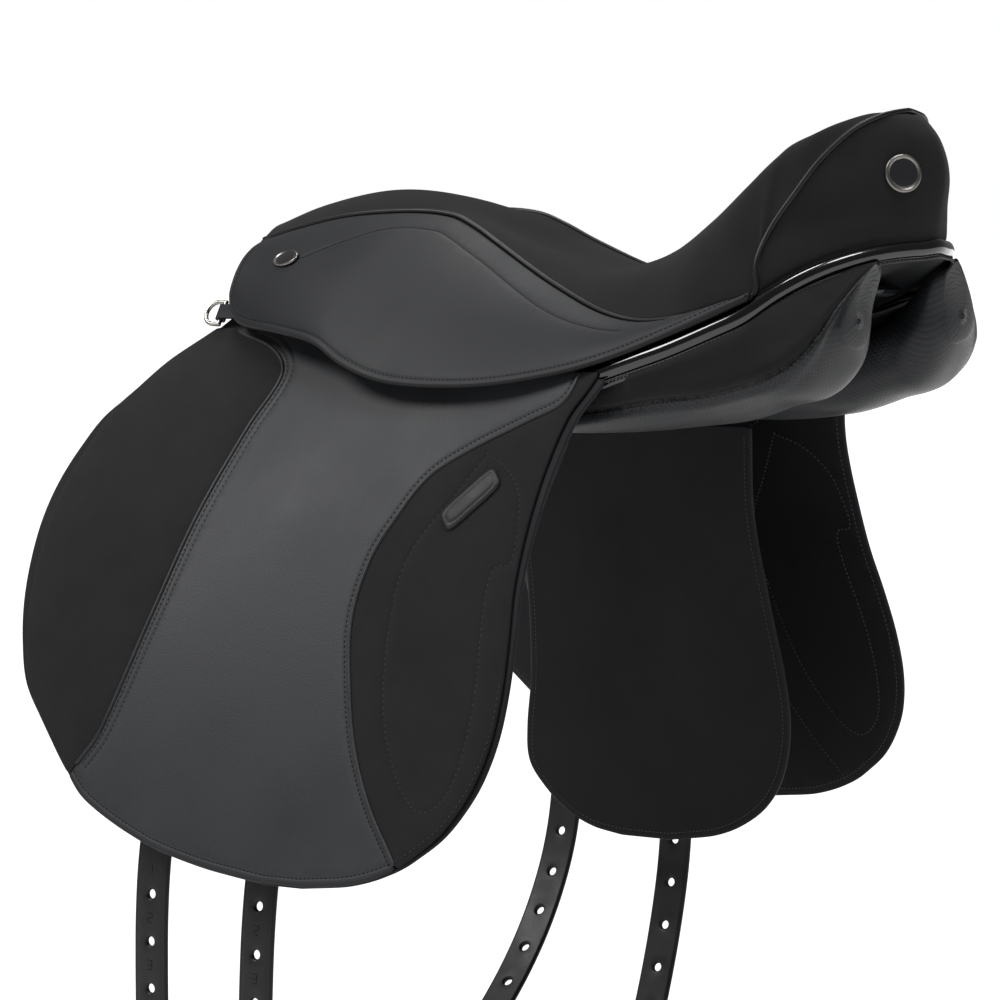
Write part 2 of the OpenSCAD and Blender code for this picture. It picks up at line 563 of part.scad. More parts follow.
// ---------------------------------------------------------------- girth straps

function strap_path(steps, i = 0, p = [-strap_top[1], strap_top[2]]) =
    i == strap_links ? [p] : let(a = smooth(steps, i))
        concat([p], strap_path(steps, i + 1, p + hole_pitch * [sin(a), -cos(a)]));
module girth_strap(steps, x) {
    path = strap_path(steps);
    tip = path[strap_links];
    lean = smooth(steps, strap_links - 1);
    color("#1a1a1b") difference() {
        strip(path, strap_t, x - strap_w / 2, x + strap_w / 2);
        for (i = [first_hole:first_hole + hole_count - 1]) {
            mid = (path[i] + path[i + 1]) / 2;
            a = smooth(steps, i);
            translate([x, mid[0], mid[1]]) rotate([a - 90, 0, 0])
                cylinder(r = hole_r, h = 4 * strap_t, center = true, $fn = 24);
        }
        for (side = [-1, 1]) translate([x, tip[0], tip[1]]) rotate([lean, 0, 0])
            translate([side * strap_w / 2, 0, 0]) rotate([0, 45, 0])
                cube([tip_cut, 4 * strap_t, tip_cut], center = true);
    }
}
module near_front_strap() { far() girth_strap(near_lean_steps, front_strap_x); }
module near_rear_strap() { far() girth_strap(near_rear_lean_steps, rear_strap_x); }
module far_front_strap() { girth_strap(far_lean_steps, front_strap_x); }
module far_rear_strap() { girth_strap(far_rear_lean_steps, rear_strap_x); }

tree();
head_plate();
head_plate_rivets();
seat_webs();
front_girth_web();
rear_girth_web();
seat_foam();
seat_cover();
cantle_facing();
cantle_welt();
cantle_band();
near_welt();
far_welt();
near_skirt_upper();
far_skirt_upper();
near_skirt();
far_skirt();
near_badge();
far_badge();
cantle_badge();
near_panel();
far_panel();
near_panel_piping();
far_panel_piping();
near_stirrup_bar();
far_stirrup_bar();
near_bar_catch();
far_bar_catch();
near_dee_tab();
far_dee_tab();
near_dee();
far_dee();
near_flap_upper();
far_flap_upper();
near_flap();
far_flap();
near_knee_suede();
far_knee_suede();
near_flap_centre();
far_flap_centre();
near_thigh_suede();
far_thigh_suede();
near_label();
far_label();
near_knee_block();
far_knee_block();
near_keepers();
far_keepers();
near_sweat_flap();
far_sweat_flap();
near_front_strap();
near_rear_strap();
far_front_strap();
far_rear_strap();
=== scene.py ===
"""English saddle in suede, smooth leather and patent leather, dressed around its CAD frame.

X runs from the head (-X) to the cantle (+X), the near side is -Y and Z is up. The classes hold their
sizes in millimetres in the frame's own axes, and the meshes are made in metres.
"""

import sys

import logging
import math
from collections.abc import Callable, Iterable, Sequence
from dataclasses import dataclass, field
from enum import Enum

import bpy
import numpy as np
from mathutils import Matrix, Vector, geometry


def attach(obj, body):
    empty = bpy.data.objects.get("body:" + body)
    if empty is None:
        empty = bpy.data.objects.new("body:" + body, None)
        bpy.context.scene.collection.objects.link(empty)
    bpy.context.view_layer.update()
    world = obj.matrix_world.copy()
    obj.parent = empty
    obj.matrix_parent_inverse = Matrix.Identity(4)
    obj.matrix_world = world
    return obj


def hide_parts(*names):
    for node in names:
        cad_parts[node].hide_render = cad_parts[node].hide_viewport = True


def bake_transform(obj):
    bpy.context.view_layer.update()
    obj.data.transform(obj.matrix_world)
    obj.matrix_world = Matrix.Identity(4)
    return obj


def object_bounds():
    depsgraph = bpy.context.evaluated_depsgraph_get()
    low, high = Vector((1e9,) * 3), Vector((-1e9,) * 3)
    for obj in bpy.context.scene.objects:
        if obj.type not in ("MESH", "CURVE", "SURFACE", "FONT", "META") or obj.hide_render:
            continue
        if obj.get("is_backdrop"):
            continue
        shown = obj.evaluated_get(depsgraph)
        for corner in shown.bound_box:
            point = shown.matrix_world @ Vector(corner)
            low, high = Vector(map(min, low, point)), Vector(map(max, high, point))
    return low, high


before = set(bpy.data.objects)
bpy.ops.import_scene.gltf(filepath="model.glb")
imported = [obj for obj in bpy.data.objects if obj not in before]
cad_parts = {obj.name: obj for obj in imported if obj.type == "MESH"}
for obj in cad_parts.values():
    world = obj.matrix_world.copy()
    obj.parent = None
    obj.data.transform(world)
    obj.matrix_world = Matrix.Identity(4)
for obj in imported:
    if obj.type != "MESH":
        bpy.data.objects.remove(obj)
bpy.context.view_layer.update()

log = logging.getLogger("saddle")

MM = 0.001
Surface = Callable[[np.ndarray, np.ndarray], np.ndarray]
Table = Sequence[Sequence[float]]


# ---------------------------------------------------------------- curves


def curve(points: Table, at: np.ndarray | float) -> np.ndarray:
    """A smooth curve through points.

    Args:
        points: Points or numbers that the curve passes through.
        at: Positions from 0 to the number of points less one.

    Returns:
        One point for each position.
    """
    p = np.asarray(points, float)
    t = np.asarray(at, float)
    i = np.clip(np.floor(t).astype(int), 0, len(p) - 2)
    first, last = i == 0, i >= len(p) - 2
    f = t - i
    if p.ndim > 1:
        first, last, f = first[..., None], last[..., None], f[..., None]
    b, c = p[i], p[i + 1]
    a = np.where(first, 2 * b - c, p[np.maximum(i - 1, 0)])
    d = np.where(last, 2 * c - b, p[np.minimum(i + 2, len(p) - 1)])
    cubic = 3 * b - a - 3 * c + d
    return 0.5 * (2 * b + (c - a) * f + (2 * a - 5 * b + 4 * c - d) * f**2 + cubic * f**3)


def smooth(table: Table, at: np.ndarray | float) -> np.ndarray:
    """A smooth value from a table of (key, value).

    Args:
        table: Rows of a key and its value, in rising order of key.
        at: Keys to look up.

    Returns:
        One value for each key.
    """
    k, v = np.asarray(table, float).T
    x = np.asarray(at, float)
    i = np.clip(np.searchsorted(k, x, side="right") - 1, 0, len(k) - 2)
    before, after = np.maximum(i - 1, 0), np.minimum(i + 2, len(k) - 1)
    h = k[i + 1] - k[i]
    s = np.clip((x - k[i]) / h, 0, 1)
    slope = (v[i + 1] - v[i]) / h
    m0 = np.where(i > 0, (v[i + 1] - v[before]) / (k[i + 1] - k[before]), slope)
    m1 = np.where(i < len(k) - 2, (v[after] - v[i]) / (k[after] - k[i]), slope)
    ends = v[i] * (2 * s**3 - 3 * s**2 + 1) + v[i + 1] * (3 * s**2 - 2 * s**3)
    return ends + h * m0 * (s**3 - 2 * s**2 + s) + h * m1 * (s**3 - s**2)


def unit(v: np.ndarray) -> np.ndarray:
    """Vectors of length one."""
    return v / np.maximum(np.linalg.norm(v, axis=-1, keepdims=True), 1e-9)


def resample(line: np.ndarray, step: float, closed: bool = False) -> np.ndarray:
    """Points evenly spaced along a line.

    Args:
        line: The line's points.
        step: Rough distance between the new points.
        closed: True if the line's end joins its start.

    Returns:
        The new points, without a repeat of the first on a closed line.
    """
    p = np.vstack([line, line[:1]]) if closed else np.asarray(line, float)
    run = np.concatenate([[0], np.cumsum(np.linalg.norm(np.diff(p, axis=0), axis=1))])
    count = max(int(round(run[-1] / step)), 3)
    at = np.linspace(0, run[-1], count + 1)[: count if closed else count + 1]
    return np.stack([np.interp(at, run, p[:, k]) for k in range(p.shape[1])], axis=1)


def rounded(line: np.ndarray, closed: bool = False, times: int = 2) -> np.ndarray:
    """The same line with its corners cut round.

    Args:
        line: The line's points.
        closed: True if the line's end joins its start.
        times: How often each corner is cut.

    Returns:
        The rounded line.
    """
    p = np.asarray(line, float)
    for _ in range(times):
        q = np.vstack([p, p[:1]]) if closed else p
        cut = np.stack([0.75 * q[:-1] + 0.25 * q[1:], 0.25 * q[:-1] + 0.75 * q[1:]], axis=1)
        cut = cut.reshape(-1, p.shape[1])
        p = cut if closed else np.vstack([p[:1], cut, p[-1:]])
    return p


def aside(line: np.ndarray, distance: float, closed: bool = False) -> np.ndarray:
    """A flat line moved to its left.

    Args:
        line: Points of the line in the plane.
        distance: How far to the left it goes.
        closed: True if the line's end joins its start.

    Returns:
        The moved points, one for each point of the line.
    """
    if closed:
        d = np.roll(line, -1, axis=0) - np.roll(line, 1, axis=0)
    else:
        d = np.gradient(line, axis=0)
    d = unit(d)
    return line + distance * np.stack([-d[:, 1], d[:, 0]], axis=1)


def stretches(line: np.ndarray, keep: np.ndarray) -> list[np.ndarray]:
    """The unbroken stretches of a line where a test holds.

    Args:
        line: The line's points.
        keep: True for each point that passes the test.

    Returns:
        One line for each stretch of four points or more.
    """
    cuts = np.flatnonzero(np.diff(keep.astype(int))) + 1
    parts = np.split(np.arange(len(line)), cuts)
    return [line[p] for p in parts if keep[p[0]] and len(p) > 3]


def run_below(row: np.ndarray, height: float) -> np.ndarray:
    """The part of a closed row that lies below a height, as one run.

    Args:
        row: The row's points, each across and up.
        height: Where the run stops on both sides.

    Returns:
        The run's points in order.
    """
    below = row[:, 1] < height
    first = int(np.argmax(below & ~np.roll(below, 1)))
    return np.roll(row, -first, axis=0)[: int(below.sum())]


def distance_to(points: np.ndarray, line: np.ndarray, closed: bool = False) -> np.ndarray:
    """How far points in the plane are from a line.

    Args:
        points: The points.
        line: The line's points.
        closed: True if the line's end joins its start.

    Returns:
        One distance for each point.
    """
    a = line if closed else line[:-1]
    b = np.roll(line, -1, axis=0) if closed else line[1:]
    d = b - a
    length = np.maximum((d**2).sum(1), 1e-12)
    best = np.full(len(points), 1e9)
    for start in range(0, len(a), 64):
        s = slice(start, start + 64)
        to = points[:, None] - a[None, s]
        t = np.clip((to * d[None, s]).sum(2) / length[None, s], 0, 1)
        best = np.minimum(best, np.linalg.norm(to - t[..., None] * d[None, s], axis=2).min(1))
    return best


def inside(points: np.ndarray, loop: np.ndarray) -> np.ndarray:
    """Which points in the plane lie inside a closed loop.

    Args:
        points: The points.
        loop: The loop's points.

    Returns:
        True for each point inside.
    """
    x, y = points[:, :1], points[:, 1:]
    a, b = loop, np.roll(loop, -1, axis=0)
    rise = b[:, 1] - a[:, 1]
    rise = np.where(np.abs(rise) < 1e-12, 1e-12, rise)
    cross = (a[:, 1] > y) != (b[:, 1] > y)
    at = a[:, 0] + (y - a[:, 1]) / rise * (b[:, 0] - a[:, 0])
    return ((cross & (x < at)).sum(1) % 2) == 1


# ---------------------------------------------------------------- meshes


@dataclass
class Mesh:
    """Vertices in millimetres, faces, and a place in the plane for each vertex."""

    verts: np.ndarray
    faces: list[tuple[int, ...]]
    flat: np.ndarray | None = None
    rim: np.ndarray | None = None
    finish: list[int] | None = None

    def mirrored(self) -> "Mesh":
        """The same shape on the far side."""
        return Mesh(self.verts * [1, -1, 1], [f[::-1] for f in self.faces], self.flat, self.rim, self.finish)


class Side(Enum):
    """Near is the rider's left and -Y."""

    NEAR = "near"
    FAR = "far"

    def turn(self, mesh: Mesh) -> Mesh:
        """A near side mesh moved to this side."""
        return mesh if self is Side.NEAR else mesh.mirrored()

    def point(self, p: Sequence[float]) -> tuple[float, float, float]:
        """A near side point in millimetres as this side's point in metres."""
        return (p[0] * MM, p[1] * MM * (1 if self is Side.NEAR else -1), p[2] * MM)


def joined(parts: Iterable[Mesh]) -> Mesh:
    """Several meshes as one.

    Args:
        parts: The meshes.

    Returns:
        One mesh that holds them all.
    """
    verts, faces, flat, start = [], [], [], 0
    for part in parts:
        verts.append(part.verts)
        flat.append(part.flat if part.flat is not None else part.verts[:, [0, 2]])
        faces += [tuple(k + start for k in f) for f in part.faces]
        start += len(part.verts)
    return Mesh(np.vstack(verts), faces, np.vstack(flat))


def grid_faces(rows: int, cols: int, wrap: bool = False) -> list[tuple[int, ...]]:
    """Faces of a grid of points whose normal is the row step crossed with the column step.

    Args:
        rows: Number of rows.
        cols: Number of columns.
        wrap: True if the last column joins the first.

    Returns:
        The faces.
    """
    faces = []
    for i in range(rows - 1):
        for j in range(cols if wrap else cols - 1):
            k = (j + 1) % cols
            faces.append((i * cols + j, (i + 1) * cols + j, (i + 1) * cols + k, i * cols + k))
    return faces


def grid_normals(grid: np.ndarray) -> np.ndarray:
    """Unit normals of a grid of points, on the same side as its faces."""
    return unit(np.cross(np.gradient(grid, axis=0), np.gradient(grid, axis=1)))


def shell(outer: np.ndarray, thickness: float) -> Mesh:
    """A closed cover under a grid of points.

    Args:
        outer: The grid of the outside, with its normals pointing out.
        thickness: How thick the cover is.

    Returns:
        The cover.
    """
    n, m = outer.shape[:2]
    inner = outer - grid_normals(outer) * thickness
    skin = grid_faces(n, m)
    rim = [j for j in range(m - 1)] + [i * m + m - 1 for i in range(n - 1)]
    rim += [(n - 1) * m + j for j in range(m - 1, 0, -1)] + [i * m for i in range(n - 1, 0, -1)]
    o = n * m
    wall = [
        (rim[k], rim[(k + 1) % len(rim)], rim[(k + 1) % len(rim)] + o, rim[k] + o) for k in range(len(rim))
    ]
    verts = np.vstack([outer.reshape(-1, 3), inner.reshape(-1, 3)])
    return Mesh(verts, skin + [tuple(k + o for k in f[::-1]) for f in skin] + wall)


def tube(path: np.ndarray, across: float, up: float, sides: int = 12) -> Mesh:
    """A round or oval cord along a path, with domed ends.

    Args:
        path: Points of its middle line.
        across: Half width, level.
        up: Half height.
        sides: Number of sides.

    Returns:
        The cord.
    """
    t = unit(np.gradient(path, axis=0))
    s = unit(np.cross(t, [0, 0, 1]))
    u = np.cross(s, t)
    turn = np.arange(sides) * 2 * math.pi / sides
    ring = s[:, None] * (
        across * np.cos(turn)
    )[None, :, None] + u[:, None] * (up * np.sin(turn))[None, :, None]
    ends = [0.4, 0.8, 0.97]
    reach = min(across, up)
    rings = []
    for k in ends:
        rings.append(path[0] - t[0] * reach * math.sqrt(1 - k * k) + ring[0] * k)
    rings += list(path[:, None] + ring)
    for k in reversed(ends):
        rings.append(path[-1] + t[-1] * reach * math.sqrt(1 - k * k) + ring[-1] * k)
    n = len(rings)
    verts = np.vstack([*rings, [path[0] - t[0] * reach], [path[-1] + t[-1] * reach]])
    faces = [f[::-1] for f in grid_faces(n, sides, wrap=True)]
    faces += [(n * sides, j, (j + 1) % sides)[::-1] for j in range(sides)]
    faces += [
        (n * sides + 1, (n - 1) * sides + (j + 1) % sides, (n - 1) * sides + j)[::-1] for j in range(sides)
    ]
    mesh = Mesh(verts, faces)
    return mesh if signed_volume(mesh) > 0 else Mesh(verts, [f[::-1] for f in faces])


def signed_volume(mesh: Mesh) -> float:
    """The volume of a closed mesh, negative if it is inside out."""
    total = 0.0
    v = mesh.verts
    for f in mesh.faces:
        for k in range(1, len(f) - 1):
            total += float(np.dot(v[f[0]], np.cross(v[f[k]], v[f[k + 1]])))
    return total / 6


def turned(profile: Table, centre: np.ndarray, axis: np.ndarray, squash: float = 1, steps: int = 64) -> Mesh:
    """A round piece turned about an axis.

    Args:
        profile: Rows of radius and height, from the middle of its back to the middle of its front.
        centre: Where the axis meets height 0.
        axis: Which way the axis points.
        squash: Height of the oval as a share of its width.
        steps: Number of sides.

    Returns:
        The piece.
    """
    n = unit(np.asarray(axis, float))
    a = unit(np.cross(n, [0, 0, 1]))
    b = np.cross(a, n)
    turn = np.arange(steps) * 2 * math.pi / steps
    rings = []
    for r, h in profile:
        ring = a * (r * np.cos(turn))[:, None] + b * (squash * r * np.sin(turn))[:, None]
        rings.append(centre + ring + n * h)
    count = len(rings)
    verts = np.vstack([*rings, [centre + n * profile[0][1]], [centre + n * profile[-1][1]]])
    faces = grid_faces(count, steps, wrap=True)
    faces += [(count * steps, (j + 1) % steps, j)[::-1] for j in range(steps)]
    last = (count - 1) * steps
    faces += [(count * steps + 1, last + j, last + (j + 1) % steps)[::-1] for j in range(steps)]
    mesh = Mesh(verts, faces)
    return mesh if signed_volume(mesh) > 0 else Mesh(verts, [f[::-1] for f in faces])


def frame_on(surface: Surface, at: np.ndarray) -> tuple[np.ndarray, np.ndarray]:
    """Points on a surface and its outward normals.

    Args:
        surface: The surface over a plane.
        at: Places in the plane.

    Returns:
        The points and the normals.
    """
    a, b, h = at[:, 0], at[:, 1], 0.5
    along = surface(a + h, b) - surface(a - h, b)
    up = surface(a, b + h) - surface(a, b - h)
    return surface(a, b), unit(np.cross(along, up))


@dataclass
class Sheet:
    """A piece cut from a sheet and bent to a surface, with rounded edges."""

    surface: Surface
    outline: np.ndarray
    thickness: float
    depth: float
    spacing: float = 7.0
    holes: list[np.ndarray] = field(default_factory=list)
    crown: float = 0.0
    crown_run: float = 20.0
    channels: list[np.ndarray] = field(default_factory=list)
    channel_depth: float = 0.45
    channel_half: float = 0.8
    edge_steps: int = 4
    rim_run: float = 2.5

    def _lattice(self, loops: list[np.ndarray]) -> np.ndarray:
        """Points that fill the sheet inside its edge rings.

        Args:
            loops: The innermost ring of each edge.

        Returns:
            Places in the plane.
        """
        low, high = loops[0].min(0), loops[0].max(0)
        step, rise = self.spacing, self.spacing * 0.866
        rows = []
        for k, b in enumerate(np.arange(low[1], high[1], rise)):
            a = np.arange(low[0] + (k % 2) * step / 2, high[0], step)
            rows.append(np.stack([a, np.full(len(a), b)], axis=1))
        points = np.vstack(rows)
        close = [(distance_to(points, loop, True) > 0.45 * step) for loop in loops]
        keep = inside(points, loops[0]) & np.all(close, axis=0)
        for hole in loops[1:]:
            keep &= ~inside(points, hole)
        for line in self.channels:
            keep &= distance_to(points, line) > 2.5 * self.channel_half
        points = [points[keep]]
        for line in self.channels:
            even = resample(line, 2.5)
            for k in (-2, -1, 0, 1, 2):
                row = aside(even, k * self.channel_half)
                ok = inside(row, loops[0])
                for loop in loops:
                    ok &= distance_to(row, loop, True) > 0.4
                points.append(row[ok])
        return np.vstack(points)

    def mesh(self) -> Mesh:
        """Builds the sheet.

        Returns:
            A closed mesh whose flat places are in millimetres.
        """
        r = self.thickness / 2
        turns = np.linspace(0, math.pi / 2, self.edge_steps + 1)
        edges = [self.outline, *[hole[::-1] for hole in self.holes]]
        rings = [[aside(e, r * (1 - math.cos(k)), True) for e in edges] for k in turns]
        inner = self._lattice(rings[-1])
        rim = np.vstack(rings[0])
        side = np.vstack([*[np.vstack(x) for x in rings[1:]], inner])
        rise = np.concatenate([np.full(len(rim), math.sin(k)) for k in turns[1:]] + [np.ones(len(inner))])
        n0, sizes = len(rim), [len(e) for e in edges]
        starts = np.concatenate([[0], np.cumsum(sizes)[:-1]])

        coords = [Vector(p) for p in np.vstack([np.vstack(rings[-1]), inner])]
        wires = [(s + j, s + (j + 1) % n) for s, n in zip(starts, sizes) for j in range(n)]
        found = geometry.delaunay_2d_cdt(coords, [tuple(map(int, w)) for w in wires], [], 0, 1e-4)
        places = np.array([tuple(v) for v in found[0]])
        back = [o[0] if o else -1 for o in found[3]]
        tris = np.array([f for f in found[2] if all(back[k] >= 0 for k in f)])
        middle = places[tris].mean(1)
        keep = inside(middle, rings[-1][0])
        for hole in rings[-1][1:]:
            keep &= ~inside(middle, hole)
        deep = n0 * (self.edge_steps - 1)

        def index(ring: int, k: int, under: bool) -> int:
            """The number of a ring's vertex on the upper or the under side."""
            return k if ring == 0 else n0 + (ring - 1) * n0 + k + (len(side) if under else 0)

        faces: list[tuple[int, ...]] = []
        for under in (False, True):
            more = n0 + deep + (len(side) if under else 0)
            for f in tris[keep]:
                tri = tuple(back[k] + more for k in f)
                faces.append(tri[::-1] if under else tri)
            for ring in range(self.edge_steps):
                for s, n in zip(starts, sizes):
                    for j in range(n):
                        a, b = int(s + j), int(s + (j + 1) % n)
                        q = (index(ring, a, under), index(ring, b, under))
                        q += (index(ring + 1, b, under), index(ring + 1, a, under))
                        faces.append(q[::-1] if under else q)

        gone = distance_to(side, self.outline, True)
        extra = self.crown * (1 - (1 - np.clip(gone / self.crown_run, 0, 1)) ** 2)
        for line in self.channels:
            d = distance_to(side, line)
            extra = extra - self.channel_depth * np.exp(-((d / self.channel_half) ** 2))
        base, normal = frame_on(self.surface, np.vstack([rim, side]))
        rim_out = base[:n0] - normal[:n0] * self.depth
        over = base[n0:] + normal[n0:] * (r * rise + extra - self.depth)[:, None]
        below = base[n0:] - normal[n0:] * (r * rise + self.depth)[:, None]
        worn = np.clip(gone / self.rim_run, 0, 1)
        for hole in self.holes:
            worn = np.minimum(worn, np.clip(distance_to(side, hole, True) / self.rim_run, 0, 1))
        return Mesh(
            np.vstack([rim_out, over, below]),
            faces,
            np.vstack([rim, side, side]),
            np.concatenate([np.zeros(n0), worn, worn]),
        )


@dataclass(frozen=True)
class Thread:
    """A row of lock stitches. A stitch is as long as six to the inch leaves between two needle holes."""

    pitch: float = 3.0
    length: float = 2.0
    width: float = 1.0
    height: float = 0.7
    slant: float = 0.0

    def row(self, surface: Surface, line: np.ndarray, lift: float, closed: bool = False) -> Mesh:
        """Stitches along a line on a surface.

        Args:
            surface: The surface over a plane.
            line: The row's points in the plane.
            lift: How far the thread's middle stands off the surface; negative is inside.
            closed: True if the line's end joins its start.

        Returns:
            All the stitches as one mesh.
        """
        even = resample(line, self.pitch, closed)
        base, normal = frame_on(surface, even)
        along = np.roll(base, -1, axis=0) - np.roll(base, 1, axis=0) if closed else np.gradient(base, axis=0)
        return self.sewn(base + normal * lift, along, normal)

    def sewn(self, at: np.ndarray, along: np.ndarray, normal: np.ndarray) -> Mesh:
        """Stitches at given places.

        Args:
            at: Middle of each stitch.
            along: Direction of each stitch.
            normal: Which way each stitch faces.

        Returns:
            All the stitches as one mesh.
        """
        t = unit(along)
        s = unit(np.cross(normal, t))
        t = unit(t * math.cos(self.slant) + s * math.sin(self.slant))
        s = unit(np.cross(normal, t))
        shape = [(-1.0, 0.0)] + [(x, math.sqrt(1 - x * x)) for x in (-0.8, 0.0, 0.8)] + [(1.0, 0.0)]
        sides = 6
        local = [(shape[0][0], 0.0, 0.0)]
        for x, r in shape[1:-1]:
            for k in range(sides):
                a = 2 * math.pi * k / sides
                local.append((x, r * math.cos(a), r * math.sin(a)))
        local.append((shape[-1][0], 0.0, 0.0))
        c = np.array(local) * [self.length / 2, self.width / 2, self.height / 2]
        verts = at[:, None] + c[None, :, :1] * t[:, None] + c[
            None, :, 1:2
        ] * s[:, None] + c[None, :, 2:] * normal[:, None]
        one = [(0, 1 + (k + 1) % sides, 1 + k) for k in range(sides)]
        for ring in range(2):
            o = 1 + ring * sides
            one += [
                (
                    o + k, o + (k + 1) % sides, o + sides + (k + 1) % sides, o + sides + k
                ) for k in range(sides)
            ]
        o = 1 + 2 * sides
        one += [(o + k, o + (k + 1) % sides, o + sides) for k in range(sides)]
        faces = [tuple(k + i * len(c) for k in f) for i in range(len(at)) for f in one]
        return Mesh(verts.reshape(-1, 3), faces)


# ---------------------------------------------------------------- finishes


def linear(code: str) -> tuple[float, float, float, float]:
    """A colour for a shader from its sRGB hex value.

    Args:
        code: Six hex digits after a hash sign.

    Returns:
        Linear red, green, blue and alpha.
    """
    parts = [int(code[k : k + 2], 16) / 255 for k in (1, 3, 5)]
    r, g, b = [c / 12.92 if c <= 0.04045 else ((c + 0.055) / 1.055) ** 2.4 for c in parts]
    return (r, g, b, 1.0)


def add_node(
    tree: bpy.types.NodeTree, kind: str, inputs: dict | None = None, **settings: object
) -> bpy.types.Node:
    """Adds a node with its settings and links.

    Args:
        tree: The node tree.
        kind: The node's type.
        inputs: A value, or a socket to link from, for each input.
        settings: The node's own settings.

    Returns:
        The node.
    """
    made = tree.nodes.new(kind)
    for name, value in settings.items():
        setattr(made, name, value)
    for name, value in (inputs or {}).items():
        if isinstance(value, bpy.types.NodeSocket):
            tree.links.new(value, made.inputs[name])
        else:
            made.inputs[name].default_value = value
    return made


BUILT: dict[str, bpy.types.Material] = {}


class Pattern(Enum):
    """What covers a surface, from the way it was made."""

    NAP = "brushed fibres"
    GRAIN = "leather grain"
    PERFORATED = "leather grain with punched holes"
    LACQUER = "poured lacquer"
    WOVEN = "woven band"
    BRUSHED = "lines from an abrasive belt"
    CELLS = "open foam cells"
    TWIST = "twisted thread"


